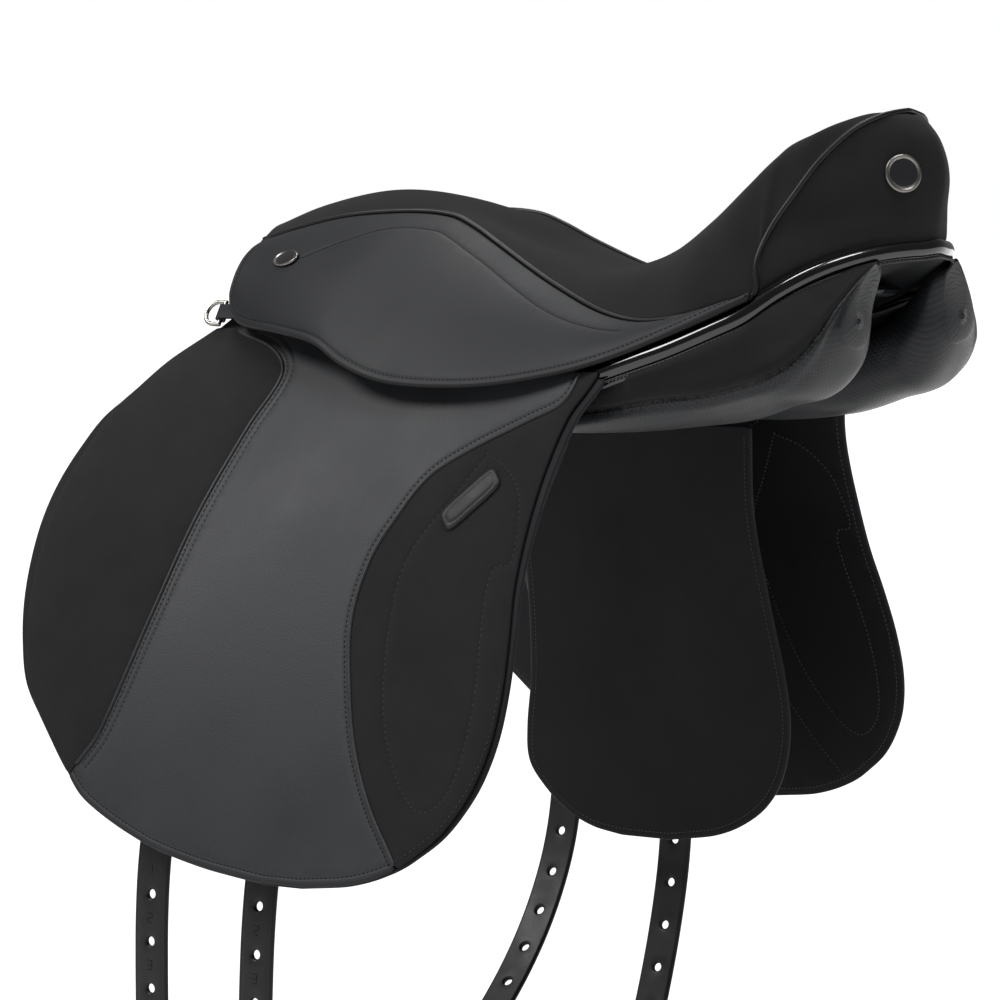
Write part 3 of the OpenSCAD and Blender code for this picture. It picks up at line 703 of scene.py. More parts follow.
@dataclass(frozen=True)
class Finish:
    """A real material and the way its surface was made. Sizes are in millimetres."""

    name: str
    pattern: Pattern
    colour: str
    second: str
    roughness: float
    size: float
    relief: float
    mottle: float = 30.0
    vary: float = 0.05
    metallic: float = 0.0
    specular: float = 0.5
    coat: float = 0.0
    coat_roughness: float = 0.1
    sheen: float = 0.0
    sheen_roughness: float = 0.5
    edge: str | None = None
    hole_pitch: float = 4.2
    hole_share: float = 0.2

    def _height(self, tree: bpy.types.NodeTree, place: bpy.types.NodeSocket) -> bpy.types.NodeSocket:
        """The pattern's own relief from 0 to 1.

        Args:
            tree: The node tree.
            place: Where on the surface, in metres.

        Returns:
            The socket that gives the height.
        """
        scale = 1 / (self.size * MM)
        if self.pattern in (Pattern.GRAIN, Pattern.PERFORATED, Pattern.CELLS):
            cells = {"Vector": place, "Scale": scale, "Randomness": 0.9}
            return add_node(tree, "ShaderNodeTexVoronoi", cells).outputs["Distance"]
        if self.pattern is Pattern.BRUSHED:
            long = add_node(tree, "ShaderNodeMapping", {"Vector": place, "Scale": (0.06, 1.0, 1.0)})
            place = long.outputs["Vector"]
        if self.pattern is Pattern.WOVEN:
            warp = {"Vector": place, "Scale": scale / 2, "Distortion": 0.6}
            a = add_node(tree, "ShaderNodeTexWave", warp, bands_direction="Z")
            b = add_node(tree, "ShaderNodeTexWave", warp, bands_direction="X")
            return add_node(
                tree, "ShaderNodeMath", {0: a.outputs["Fac"], 1: b.outputs["Fac"]}, operation="MULTIPLY"
            ).outputs[0]
        if self.pattern is Pattern.TWIST:
            ply = {"Vector": place, "Scale": scale / 2, "Distortion": 1.0}
            return add_node(tree, "ShaderNodeTexWave", ply, bands_direction="DIAGONAL").outputs["Fac"]
        fibres = {"Vector": place, "Scale": scale, "Detail": 4.0, "Roughness": 0.65}
        return add_node(tree, "ShaderNodeTexNoise", fibres).outputs["Fac"]

    def _punched(self, tree: bpy.types.NodeTree) -> bpy.types.NodeSocket:
        """1 in a punched hole and 0 elsewhere, in two crossing rows laid along the cut piece."""
        flat = add_node(tree, "ShaderNodeUVMap", uv_map="flat").outputs["UV"]
        masks = []
        for shift in (0.0, 0.5):
            scale = 1 / (self.hole_pitch * MM)
            at = add_node(
                tree, "ShaderNodeMapping",
                {"Vector": flat, "Scale": (scale,) * 3, "Location": (shift, shift, 0.0)}
            )
            cell = add_node(tree, "ShaderNodeVectorMath", {0: at.outputs["Vector"]}, operation="FRACTION")
            off = add_node(
                tree, "ShaderNodeVectorMath", {0: cell.outputs[0], 1: (0.5, 0.5, 0.0)}, operation="SUBTRACT"
            )
            far = add_node(
                tree, "ShaderNodeVectorMath", {0: off.outputs[0]}, operation="LENGTH"
            ).outputs["Value"]
            edge = {"Value": far, "From Min": self.hole_share, "From Max": self.hole_share * 0.7}
            masks.append(add_node(tree, "ShaderNodeMapRange", edge).outputs["Result"])
        return add_node(tree, "ShaderNodeMath", {0: masks[0], 1: masks[1]}, operation="MAXIMUM").outputs[0]

    def material(self) -> bpy.types.Material:
        """Builds the material, or finds it if it was built before.

        Returns:
            The material.
        """
        if self.name in BUILT:
            return BUILT[self.name]
        made = BUILT[self.name] = bpy.data.materials.new(self.name)
        made.use_nodes = True
        tree = made.node_tree
        tree.nodes.clear()
        place = add_node(tree, "ShaderNodeTexCoord").outputs["Object"]
        clouds = {"Vector": place, "Scale": 1 / (self.mottle * MM), "Detail": 3.0, "Roughness": 0.55}
        broad = add_node(tree, "ShaderNodeTexNoise", clouds).outputs["Fac"]
        height = self._height(tree, place)
        spread = {"Value": broad, "From Min": 0.3, "From Max": 0.7}
        share = add_node(tree, "ShaderNodeMapRange", spread).outputs["Result"]
        speck = {0: height, 1: 0.35, 2: share}
        share = add_node(tree, "ShaderNodeMath", speck, operation="MULTIPLY_ADD").outputs[0]
        shades = {"Factor": share, 6: linear(self.colour), 7: linear(self.second)}
        colour = add_node(tree, "ShaderNodeMix", shades, data_type="RGBA").outputs[2]
        span = {"Value": broad, "From Min": 0.3, "From Max": 0.7}
        span |= {
            "To Min": max(self.roughness - self.vary, 0.02), "To Max": min(self.roughness + self.vary, 1)
        }
        rough = add_node(tree, "ShaderNodeMapRange", span).outputs["Result"]
        if self.edge:
            rim = add_node(tree, "ShaderNodeAttribute", attribute_name="rim").outputs["Fac"]
            dyed = {"Factor": rim, 6: linear(self.edge), 7: colour}
            colour = add_node(tree, "ShaderNodeMix", dyed, data_type="RGBA").outputs[2]
        if self.pattern is Pattern.PERFORATED:
            hole = self._punched(tree)
            dark = {"Factor": hole, 6: colour, 7: linear("#020202")}
            colour = add_node(tree, "ShaderNodeMix", dark, data_type="RGBA").outputs[2]
            height = add_node(
                tree, "ShaderNodeMath", {0: hole, 1: -3.0, 2: height}, operation="MULTIPLY_ADD"
            ).outputs[0]
        relief = {"Height": height, "Distance": self.relief * MM, "Strength": 1.0}
        normal = add_node(tree, "ShaderNodeBump", relief).outputs["Normal"]
        shader = add_node(
            tree,
            "ShaderNodeBsdfPrincipled",
            {
                "Base Color": colour,
                "Roughness": rough,
                "Normal": normal,
                "Metallic": self.metallic,
                "Specular IOR Level": self.specular,
                "Coat Weight": self.coat,
                "Coat Roughness": self.coat_roughness,
                "Sheen Weight": self.sheen,
                "Sheen Roughness": self.sheen_roughness,
            },
        )
        add_node(tree, "ShaderNodeOutputMaterial", {"Surface": shader.outputs[0]})
        return made


# Suede: calf split buffed until its fibres stand up. It scatters light, so it stays dull and shows
# soft clouds where the nap lies differently. The fibres are finer than this; they are drawn at 0.8 mm.
SUEDE = Finish(
    "buffed_suede", Pattern.NAP, "#1b1b1b", "#1f201f", 0.96, 0.8, 0.2, 26, 0.03, specular=0.1, sheen=0.05
)
# Smooth calf: drum dyed and lightly plated, with pores about a millimetre apart under a satin dressing.
CALF = Finish(
    "plated_calf", Pattern.GRAIN, "#232426", "#292a2d", 0.53, 1.1, 0.05, 60, 0.04, specular=0.3,
    edge="#0c0c0d"
)
# The same hide with a firmer finish for the skirts.
SKIRT_CALF = Finish(
    "plated_skirt_calf", Pattern.GRAIN, "#17181a", "#1c1d20", 0.56, 1.1, 0.05, 60, 0.04, specular=0.26,
    edge="#0d0d0e"
)
# Vegetable tanned lining side of the flaps and the sweat flaps, oiled and near black; the colour is made
# darker than the leather's own as painted shade, for the shadow that the sweat flaps lie in under the flaps.
HARNESS_PAINTED_SHADE = Finish(
    "oiled_harness_leather_painted_shade", Pattern.GRAIN, "#050608", "#08090b", 0.58, 1.3, 0.05, 70, 0.06, specular=0.14,
    edge="#1b1c20"
)
# Edge welts: skived calf folded round a cord.
WELT = Finish(
    "folded_welt_leather", Pattern.GRAIN, "#1c1d1f", "#242528", 0.44, 0.9, 0.03, 30, 0.05, specular=0.36
)
CORD = Finish(
    "black_welt_leather", Pattern.GRAIN, "#09090a", "#0e0e0f", 0.44, 0.9, 0.02, 30, 0.05, specular=0.35
)
# Patent leather: a poured lacquer that mirrors the lamps, with slow waves from the hide beneath.
PATENT = Finish(
    "lacquered_patent_calf", Pattern.LACQUER, "#020203", "#040405", 0.2, 14, 0.2, 40, 0.03, specular=0.25,
    coat=1, coat_roughness=0.05
)
# Panel leather: soft pebbled cow hide, punched in crossing rows. The real holes are about
# 2.3 mm apart, too fine to show, so they are drawn 4.2 mm apart.
PANEL = Finish(
    "perforated_panel_leather", Pattern.PERFORATED, "#0f1114", "#15171b", 0.42, 0.9, 0.05, 45, 0.06,
    specular=0.34
)
# Billet leather: waxed strap butt with a tight grain.
STRAP = Finish(
    "waxed_strap_leather", Pattern.GRAIN, "#0d0d0f", "#151518", 0.48, 0.8, 0.06, 25, 0.07, specular=0.32,
    edge="#08080a"
)
BLOCK = Finish(
    "soft_block_leather", Pattern.GRAIN, "#121316", "#191b1f", 0.5, 1.1, 0.06, 40, 0.06, specular=0.4
)
# Bonded nylon thread, three plies twisted, one ply about 0.4 mm.
THREAD = Finish(
    "black_bonded_thread", Pattern.TWIST, "#030303", "#070708", 0.6, 0.4, 0.03, 10, 0.05, specular=0.2
)
THREAD_GREY = Finish(
    "charcoal_bonded_thread", Pattern.TWIST, "#232324", "#303031", 0.6, 0.4, 0.03, 10, 0.05, specular=0.4
)
# Injection moulded rubber with a fine spark-eroded texture.
RUBBER = Finish("moulded_rubber", Pattern.NAP, "#0e0e0f", "#141415", 0.55, 0.9, 0.02, 20, 0.05, specular=0.4)
# Zinc casting, dark plated and belt brushed.
GUNMETAL = Finish(
    "brushed_gunmetal", Pattern.BRUSHED, "#6a6764", "#85817d", 0.34, 0.5, 0.01, 12, 0.06, metallic=1.0
)
ENAMEL = Finish(
    "dark_enamel", Pattern.LACQUER, "#17171a", "#1d1d21", 0.18, 9, 0.02, 12, 0.03, specular=0.5, coat=0.8,
    coat_roughness=0.06
)
# Nickel plated wire, polished.
NICKEL = Finish(
    "polished_nickel", Pattern.BRUSHED, "#8b8984", "#a19f9a", 0.24, 0.7, 0.004, 14, 0.05, metallic=1.0
)
# Stainless bar, tumbled.
STAINLESS = Finish(
    "tumbled_stainless", Pattern.BRUSHED, "#a9abad", "#bfc1c3", 0.32, 0.8, 0.008, 16, 0.06, metallic=1.0
)
PLATE = Finish(
    "rolled_steel_plate", Pattern.BRUSHED, "#7e8184", "#94979a", 0.38, 0.8, 0.01, 18, 0.06, metallic=1.0
)
SPRING = Finish(
    "blued_spring_steel", Pattern.BRUSHED, "#34373b", "#42464b", 0.4, 0.9, 0.01, 25, 0.06, metallic=1.0
)
# Jute and cotton girth web, threads about 1.4 mm apart.
WEB = Finish(
    "cotton_web", Pattern.WOVEN, "#b9b09a", "#d2cab6", 0.9, 1.4, 0.3, 15, 0.04, specular=0.2, sheen=0.2
)
FOAM = Finish("open_cell_foam", Pattern.CELLS, "#a89f86", "#c2b99e", 0.95, 1.6, 0.4, 20, 0.03, specular=0.2)


# ---------------------------------------------------------------- pieces


@dataclass(frozen=True)
class Bend:
    """Two bodies that a piece bends between, and where it starts and stops bending."""

    above: str
    below: str
    start: tuple[float, float, float]
    end: tuple[float, float, float]


def piece(
    name: str,
    mesh: Mesh,
    finishes: Finish | Sequence[Finish],
    slot: str,
    home: str | Bend,
    nodes: Sequence[str] = (),
) -> bpy.types.Object:
    """Makes a piece and hides the CAD nodes that it stands for.

    Args:
        name: The piece's name.
        mesh: Its mesh.
        finishes: Its finish, or one for each number in the mesh's finish list.
        slot: The record's material slot; not used.
        home: The body that it rides on, or a Bend, whose start and end are not used; a piece with a Bend is
            baked in place and not attached to a body.
        nodes: The CAD nodes that it stands for.

    Returns:
        The piece.
    """
    data = bpy.data.meshes.new(name)
    data.from_pydata((mesh.verts * MM).tolist(), [], mesh.faces)
    flat = mesh.flat if mesh.flat is not None else mesh.verts[:, [0, 2]]
    corners = np.zeros(len(data.loops), np.int32)
    data.loops.foreach_get("vertex_index", corners)
    layer = data.uv_layers.new(name="flat")
    layer.data.foreach_set("uv", (flat[corners] * MM).astype(np.float32).ravel())
    rim = mesh.rim if mesh.rim is not None else np.ones(len(mesh.verts))
    data.attributes.new("rim", "FLOAT", "POINT").data.foreach_set("value", rim.astype(np.float32))
    for finish in [finishes] if isinstance(finishes, Finish) else finishes:
        data.materials.append(finish.material())
    if mesh.finish:
        data.polygons.foreach_set("material_index", np.array(mesh.finish, np.int32))
    data.polygons.foreach_set("use_smooth", np.ones(len(data.polygons), bool))
    data.validate()
    data.update()
    made = bpy.data.objects.new(name, data)
    bpy.context.scene.collection.objects.link(made)
    if isinstance(home, Bend):
        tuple(home.start)
        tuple(home.end)
        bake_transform(made)
    else:
        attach(made, home)
    if nodes:
        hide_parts(*nodes)
    log.info(
        "%s: %d vertices on %s", name, len(data.vertices), home if isinstance(home, str) else home.below
    )
    return made


class SeatForm:
    """The lines that the seat, the skirts and the cantle share, one point for each rib."""

    corner = 13
    welt_points = [
        [-254, -40, 122], [-223, -43, 130], [-180, -46, 138], [-131, -47, 141], [-99, -47, 139],
        [-79, -49, 132], [-57, -53, 121], [-27, -62, 107], [4, -74, 95], [46, -91, 82], [80, -100, 77],
        [113, -105, 80], [139, -103, 87], [161, -99, 94], [160, -96, 112], [163, -85, 132],
        [174, -73, 155], [182, -60, 173], [193, -43, 190], [201, -26, 198], [204, -10, 201],
    ]
    shoulder_points = [
        [-255, -24, 131], [-223, -26, 141], [-178, -28, 149], [-133, -29, 148], [-101, -29, 139],
        [-80, -30, 131], [-58, -32, 121], [-28, -37, 111], [4, -46, 106], [46, -58, 108], [82, -64, 118],
        [114, -70, 137], [137, -71, 156], [147, -67, 167], [154, -62, 175], [161, -57, 182],
        [172, -51, 188], [179, -42, 193], [186, -32, 197], [191, -20, 200], [195, -7, 201],
    ]
    middle_points = [
        [-256, 0, 134], [-222, 0, 146], [-176, 0, 154], [-134, 0, 151], [-103, 0, 138],
        [-82, 0, 128], [-60, 0, 119], [-30, 0, 111], [2, 0, 106], [44, 0, 103], [80, 0, 106],
        [112, 0, 114], [136, 0, 126], [150, 0, 138], [160, 0, 148], [168, 0, 158],
        [176, 0, 168], [183, 0, 180], [188, 0, 191], [192, 0, 198], [196, 0, 202],
    ]
    back_points = [
        [225, 0, 127], [227, 0, 137], [229, 0, 148], [231, 0, 161], [230, 0, 173],
        [225, 0, 185], [216, 0, 195], [209, 0, 200],
    ]
    skirt_points = [
        [-251, -88, 75], [-222, -103, 68], [-180, -122, 65], [-140, -137, 60], [-112, -145, 48],
        [-85, -149, 40], [-58, -151, 37], [-22, -152, 37], [14, -151, 40], [54, -146, 47], [85, -139, 56],
        [116, -129, 68], [143, -118, 80], [163, -107, 90],
    ]
    back_power = 1.5
    foot_rise = 30.0
    skirt_bulge = 12.0

    def welt(self, u: np.ndarray) -> np.ndarray:
        """Points of the welt at ribs u."""
        return curve(self.welt_points, u)

    def inset(self, u: np.ndarray, target: np.ndarray, edge: float) -> np.ndarray:
        """Points a given distance from the welt, square to it.

        Args:
            u: Ribs.
            target: Points to go towards.
            edge: The distance.

        Returns:
            The points.
        """
        w = self.welt(u)
        t = unit(self.welt(u + 0.05) - self.welt(u - 0.05))
        d = target - w
        return w + unit(d - t * (d * t).sum(-1, keepdims=True)) * edge

    def ribs(self, u: np.ndarray, edge: float, steps: int) -> np.ndarray:
        """The top of the seat.

        Args:
            u: Ribs.
            edge: How far the cover stops short of the welt.
            steps: Points across each rib.

        Returns:
            A grid with a row for each rib, from the near side to the far side.
        """
        s, m = curve(self.shoulder_points, u), curve(self.middle_points, u)
        e = self.inset(u, s, edge)
        flip = np.array([1, -1, 1])
        v = np.linspace(0, 4, steps)
        return np.array([curve([e[i], s[i], m[i], s[i] * flip, e[i] * flip], v) for i in range(len(u))])

    def back(self, u: np.ndarray, v: np.ndarray, edge: float) -> np.ndarray:
        """The back of the cantle.

        Args:
            u: Ribs from the corner to the top.
            v: Places across, from -1 on the near side to 1.
            edge: How far the cover stops short of the welt.

        Returns:
            A grid with a row for each rib.
        """
        r = curve(self.back_points, u - self.corner)
        w = self.inset(u, r, edge)
        k = 1 - np.abs(v) ** self.back_power
        x = w[:, :1] + (r[:, :1] - w[:, :1]) * k
        y = w[:, 1:2] * -v
        rise = self.foot_rise * k * (1 - k) * np.maximum(0, 1 - (u - self.corner) / 2)[:, None]
        return np.stack([x, y, w[:, 2:] + (r[:, 2:] - w[:, 2:]) * k + rise], axis=-1)

    def foot(self, v: np.ndarray) -> np.ndarray:
        """The middle of the band on the cantle's foot, as points of the near side written with +Y.

        Args:
            v: Places across, from 0 in the middle to 1 at the corner.

        Returns:
            The points.
        """
        k = 1 - v**self.back_power
        return np.stack([164 + 62 * k, -102 * v, 86 + 34 * k + self.foot_rise * k * (1 - k)], axis=-1)

    def skirt(self, i: np.ndarray, t: np.ndarray, edge: float = 3.0) -> np.ndarray:
        """The outside of the near skirt.

        Args:
            i: Ribs.
            t: Share of the way from the welt to the lower edge.
            edge: How far the skirt stops short of the welt.

        Returns:
            The points.
        """
        low = curve(self.skirt_points, i)
        w = self.inset(i, low, edge)
        h = self.skirt_bulge * 4 * t * (1 - t) * (1 - i / 22)
        return w + (low - w) * t[..., None] + np.array([0, -0.62, 0.78]) * h[..., None]


FORM = SeatForm()


@dataclass
class Seat:
    """Suede seat over foam, its cantle back, and the welts between the panels."""

    edge: float = 1.0
    cover: float = 2.0
    welt_radius: float = 1.7
    front_drop: float = 16.0
    rows: int = 170
    cols: int = 97

    def top(self) -> Mesh:
        """The seat cover, turned down over the front of the foam at the head."""
        u = np.linspace(0, 19.92, self.rows)
        grid = FORM.ribs(u, self.edge, self.cols)
        front = grid[0]
        lines = []
        for k in np.linspace(1, 0.08, 9):
            turn = k * math.pi / 2
            low = front + np.array([-5 * math.sin(turn), 0, 0])
            drop = self.front_drop * (1 - math.cos(turn))
            low[:, 2] -= drop * np.clip((front[:, 2] - 118) / 14, 0, 1)
            lines.append(low)
        return shell(np.vstack([np.array(lines), grid]), self.cover)

    def back(self) -> Mesh:
        """The cover of the cantle's back."""
        v = np.linspace(-1, 1, 97)
        grid = FORM.back(np.linspace(FORM.corner, 19.9, 90), v, self.edge)
        foot = FORM.foot(np.abs(v)) * np.stack([np.ones(97), np.where(v < 0, 1, -1), np.ones(97)], axis=1)
        low = [grid[0] + (foot - grid[0]) * k for k in (1.0, 0.75, 0.5, 0.25)]
        return shell(np.vstack([np.array(low), grid])[::-1], self.cover)

    def side_welt(self) -> Mesh:
        """The near welt, from the head to the cantle's corner."""
        return tube(FORM.welt(np.linspace(0, FORM.corner, 160)), self.welt_radius, self.welt_radius)

    def arch_welt(self) -> Mesh:
        """The welt over the cantle, from corner to corner."""
        climb = FORM.welt(np.linspace(FORM.corner, 20, 90))
        path = np.vstack([climb, [[206, 0, 202]], climb[::-1] * [1, -1, 1]])
        return tube(rounded(resample(path, 4)), self.welt_radius, self.welt_radius)

    def make(self) -> None:
        """Builds the seat."""
        piece("seat_suede", self.top(), SUEDE, "suede", "root", ["seat_cover"])
        piece("cantle_back_suede", self.back(), SUEDE, "suede", "root", ["cantle_facing"])
        piece("cantle_arch_welt", self.arch_welt(), CORD, "welt_leather", "root", ["cantle_welt"])
        for side in Side:
            name = f"{side.value}_seat_welt"
            piece(name, side.turn(self.side_welt()), CORD, "welt_leather", "root", [f"{side.value}_welt"])


@dataclass
class Band:
    """Patent leather band round the foot of the cantle, with a bead of stitches under it."""

    half_width: float = 3.4
    half_height: float = 5.0
    front: Table = (
        (76, -134.5, 46), (96, -131, 53), (118, -125.5, 61), (142, -116.5, 72), (158, -108, 80.5)
    )

    def path(self) -> np.ndarray:
        """The middle line from the near end round the back to the far end."""
        half = np.array([*self.front, *FORM.foot(np.arange(0.92, 0.1, -0.115))])
        whole = np.vstack([half, [[226, 0, 121]], half[::-1] * [1, -1, 1]])
        return resample(curve(whole, np.linspace(0, len(whole) - 1, 700)), 3)

    def make(self) -> None:
        """Builds the band."""
        path = self.path()
        piece(
            "cantle_patent_band", tube(path, self.half_width, self.half_height, 24), PATENT,
            "patent_leather", "root", ["cantle_band"]
        )
        t = unit(np.gradient(path, axis=0))
        out = unit(np.cross(t, [0, 0, 1]))
        bead = path + out * (self.half_width * 0.55) - np.array([0, 0, self.half_height + 0.8])
        piece("cantle_band_cord", tube(bead, 1.0, 1.0, 10), CORD, "welt_leather", "root")
        even = resample(bead + out * 0.9, 2.6)
        along = np.gradient(even, axis=0)
        facing = unit(np.cross(unit(along), [0, 0, 1]))
        sewn = Thread(2.6, 2.2, 1.1, 1.0, 0.5).sewn(even, along, facing)
        piece("cantle_band_stitches", sewn, THREAD_GREY, "welt_leather", "root")


@dataclass
class Skirt:
    """One skirt: a sheet of calf with a rolled lower edge and a sewn line that follows the welt."""

    side: Side
    thickness: float = 3.6
    first: float = 0.1
    line: Table = (
        (1.75, 0.47), (1.9, 0.46), (2.5, 0.30), (2.9, 0.2), (3.9, 0.14), (4.8, 0.14), (6.1, 0.16),
        (7.3, 0.22), (8.5, 0.32), (10.0, 0.48),
    )
    badge_at: tuple[float, float] = (1.55, 0.48)
    badge_radius: float = 12.0

    def __post_init__(self) -> None:
        """Measures the skirt along its ribs, so that it can be cut flat."""
        self._ribs = np.linspace(self.first, FORM.corner, 200)
        mid = FORM.skirt(self._ribs, np.full(200, 0.5))
        self._run = np.concatenate([[0], np.cumsum(np.linalg.norm(np.diff(mid, axis=0), axis=1))])
        ends = FORM.skirt(self._ribs, np.zeros(200)) - FORM.skirt(self._ribs, np.ones(200))
        self._width = np.linalg.norm(ends, axis=1)

    def surface(self, a: np.ndarray, b: np.ndarray) -> np.ndarray:
        """The outside of the skirt over the flat cut: a along the ribs, b up from the lower edge."""
        i = np.interp(a, self._run, self._ribs)
        width = np.interp(a, self._run, self._width)
        over = np.clip(a, 0, self._run[-1]) - a
        point = FORM.skirt(i, 1 - b / width, 1.2)
        return point - over[..., None] * np.array([1, 0, 0])

    def flat(self, ribs: np.ndarray, share: np.ndarray) -> np.ndarray:
        """Places in the flat cut from ribs and shares of the way down."""
        a = np.interp(ribs, self._ribs, self._run)
        return np.stack([a, (1 - share) * np.interp(a, self._run, self._width)], axis=1)

    def outline(self) -> np.ndarray:
        """The cut's edge, with its front lower corner well rounded."""
        a = np.linspace(0, self._run[-1], 120)
        top = np.stack([a, np.interp(a, self._run, self._width)], axis=1)
        low = np.array([[18, 0], [6, 3.5], [0.8, 12]])
        bottom = np.stack([np.linspace(24, self._run[-1], 110), np.zeros(110)], axis=1)
        return rounded(resample(np.vstack([bottom, top[::-1], low[::-1]]), 4.0, True), True, 1)

    def make(self) -> None:
        """Builds the skirt."""
        name = self.side.value
        edge = self.outline()
        line = curve(self.flat(*np.array(self.line).T), np.linspace(0, len(self.line) - 1, 90))
        last = self._run[-1]
        low = np.stack([np.linspace(14, last - 4, 120), np.full(120, 5.0)], axis=1)
        nose = np.array([[14, 5.0], [7, 8.0], [4.6, 15.0]])
        rise = np.stack(
            [np.full(30, 4.6), np.linspace(20, np.interp(5, self._run, self._width) - 4, 30)], axis=1
        )
        hem = rounded(np.vstack([rise[::-1], nose[::-1], low]), False, 1)
        sheet = Sheet(
            self.surface, edge, self.thickness, self.thickness / 2, 6.0, channels=[line, hem],
            channel_depth=0.5
        )
        home = Bend(
            "root", f"{name}_skirt_lobe", self.side.point((-55, -118, 82)), self.side.point((-55, -122, 58))
        )
        nodes = [f"{name}_skirt", f"{name}_skirt_upper"]
        piece(f"{name}_skirt_calf", self.side.turn(sheet.mesh()), SKIRT_CALF, "smooth_leather", home, nodes)
        sewn = Thread(3.0, 2.1, 0.6, 0.5)
        rows = joined([sewn.row(self.surface, line, -0.25), sewn.row(self.surface, hem, -0.25)])
        piece(f"{name}_skirt_stitches", self.side.turn(rows), THREAD, "smooth_leather", home)
        at = self.flat(np.array([self.badge_at[0]]), np.array([self.badge_at[1]]))
        point, normal = frame_on(self.surface, at)
        make_badge(
            f"{name}_skirt_badge", point[0], normal[0], self.badge_radius, 0.56, self.side, f"{name}_badge"
        )


BADGE_PROFILE = (
    (0.0, 0.3), (0.93, 0.3), (1.0, 0.8), (1.0, 1.5), (0.96, 2.0), (0.9, 2.2), (0.85, 2.05), (0.81, 1.7)
)


def make_badge(
    name: str, centre: np.ndarray, axis: np.ndarray, radius: float, squash: float, side: Side, node: str
) -> None:
    """A plain oval badge: a brushed rim round a domed enamel field.

    Args:
        name: The badge's name.
        centre: Its middle on the leather.
        axis: Which way it faces.
        radius: Half its width.
        squash: Its height as a share of its width.
        side: The side that it is on.
        node: The CAD node that it stands for.
    """
    rim = [(max(r * radius, 0.01), h) for r, h in BADGE_PROFILE] + [(0.01, 1.6)]
    piece(name, side.turn(turned(rim, centre, axis, squash)), GUNMETAL, "badge_metal", "root", [node])
    dome = [(0.01, 1.4)] + [
        (radius * 0.8 * s, 1.6 + 0.55 * math.sqrt(1 - s * s)) for s in (1.0, 0.95, 0.85, 0.7, 0.5, 0.3, 0.1)
    ]
    piece(f"{name}_enamel", side.turn(turned(dome, centre, axis, squash)), ENAMEL, "badge_metal", "root")


@dataclass
class CantleBadge:
    """The round badge on the back of the cantle, square to the leather under it."""

    ribs: tuple[float, float, float] = (16.2, 16.4, 16.6)
    shares: tuple[float, float, float] = (-0.45, -0.4, -0.35)
    lift: float = 3.8
    radius: float = 11.5

    def make(self) -> None:
        """Builds the badge."""
        back = FORM.back(np.array(self.ribs), np.array(self.shares), self.lift)
        facing = unit(np.cross(back[1, 2] - back[1, 0], back[2, 1] - back[0, 1]))
        make_badge("cantle_back_badge", back[1, 1], facing, self.radius, 1.0, Side.NEAR, "cantle_badge")


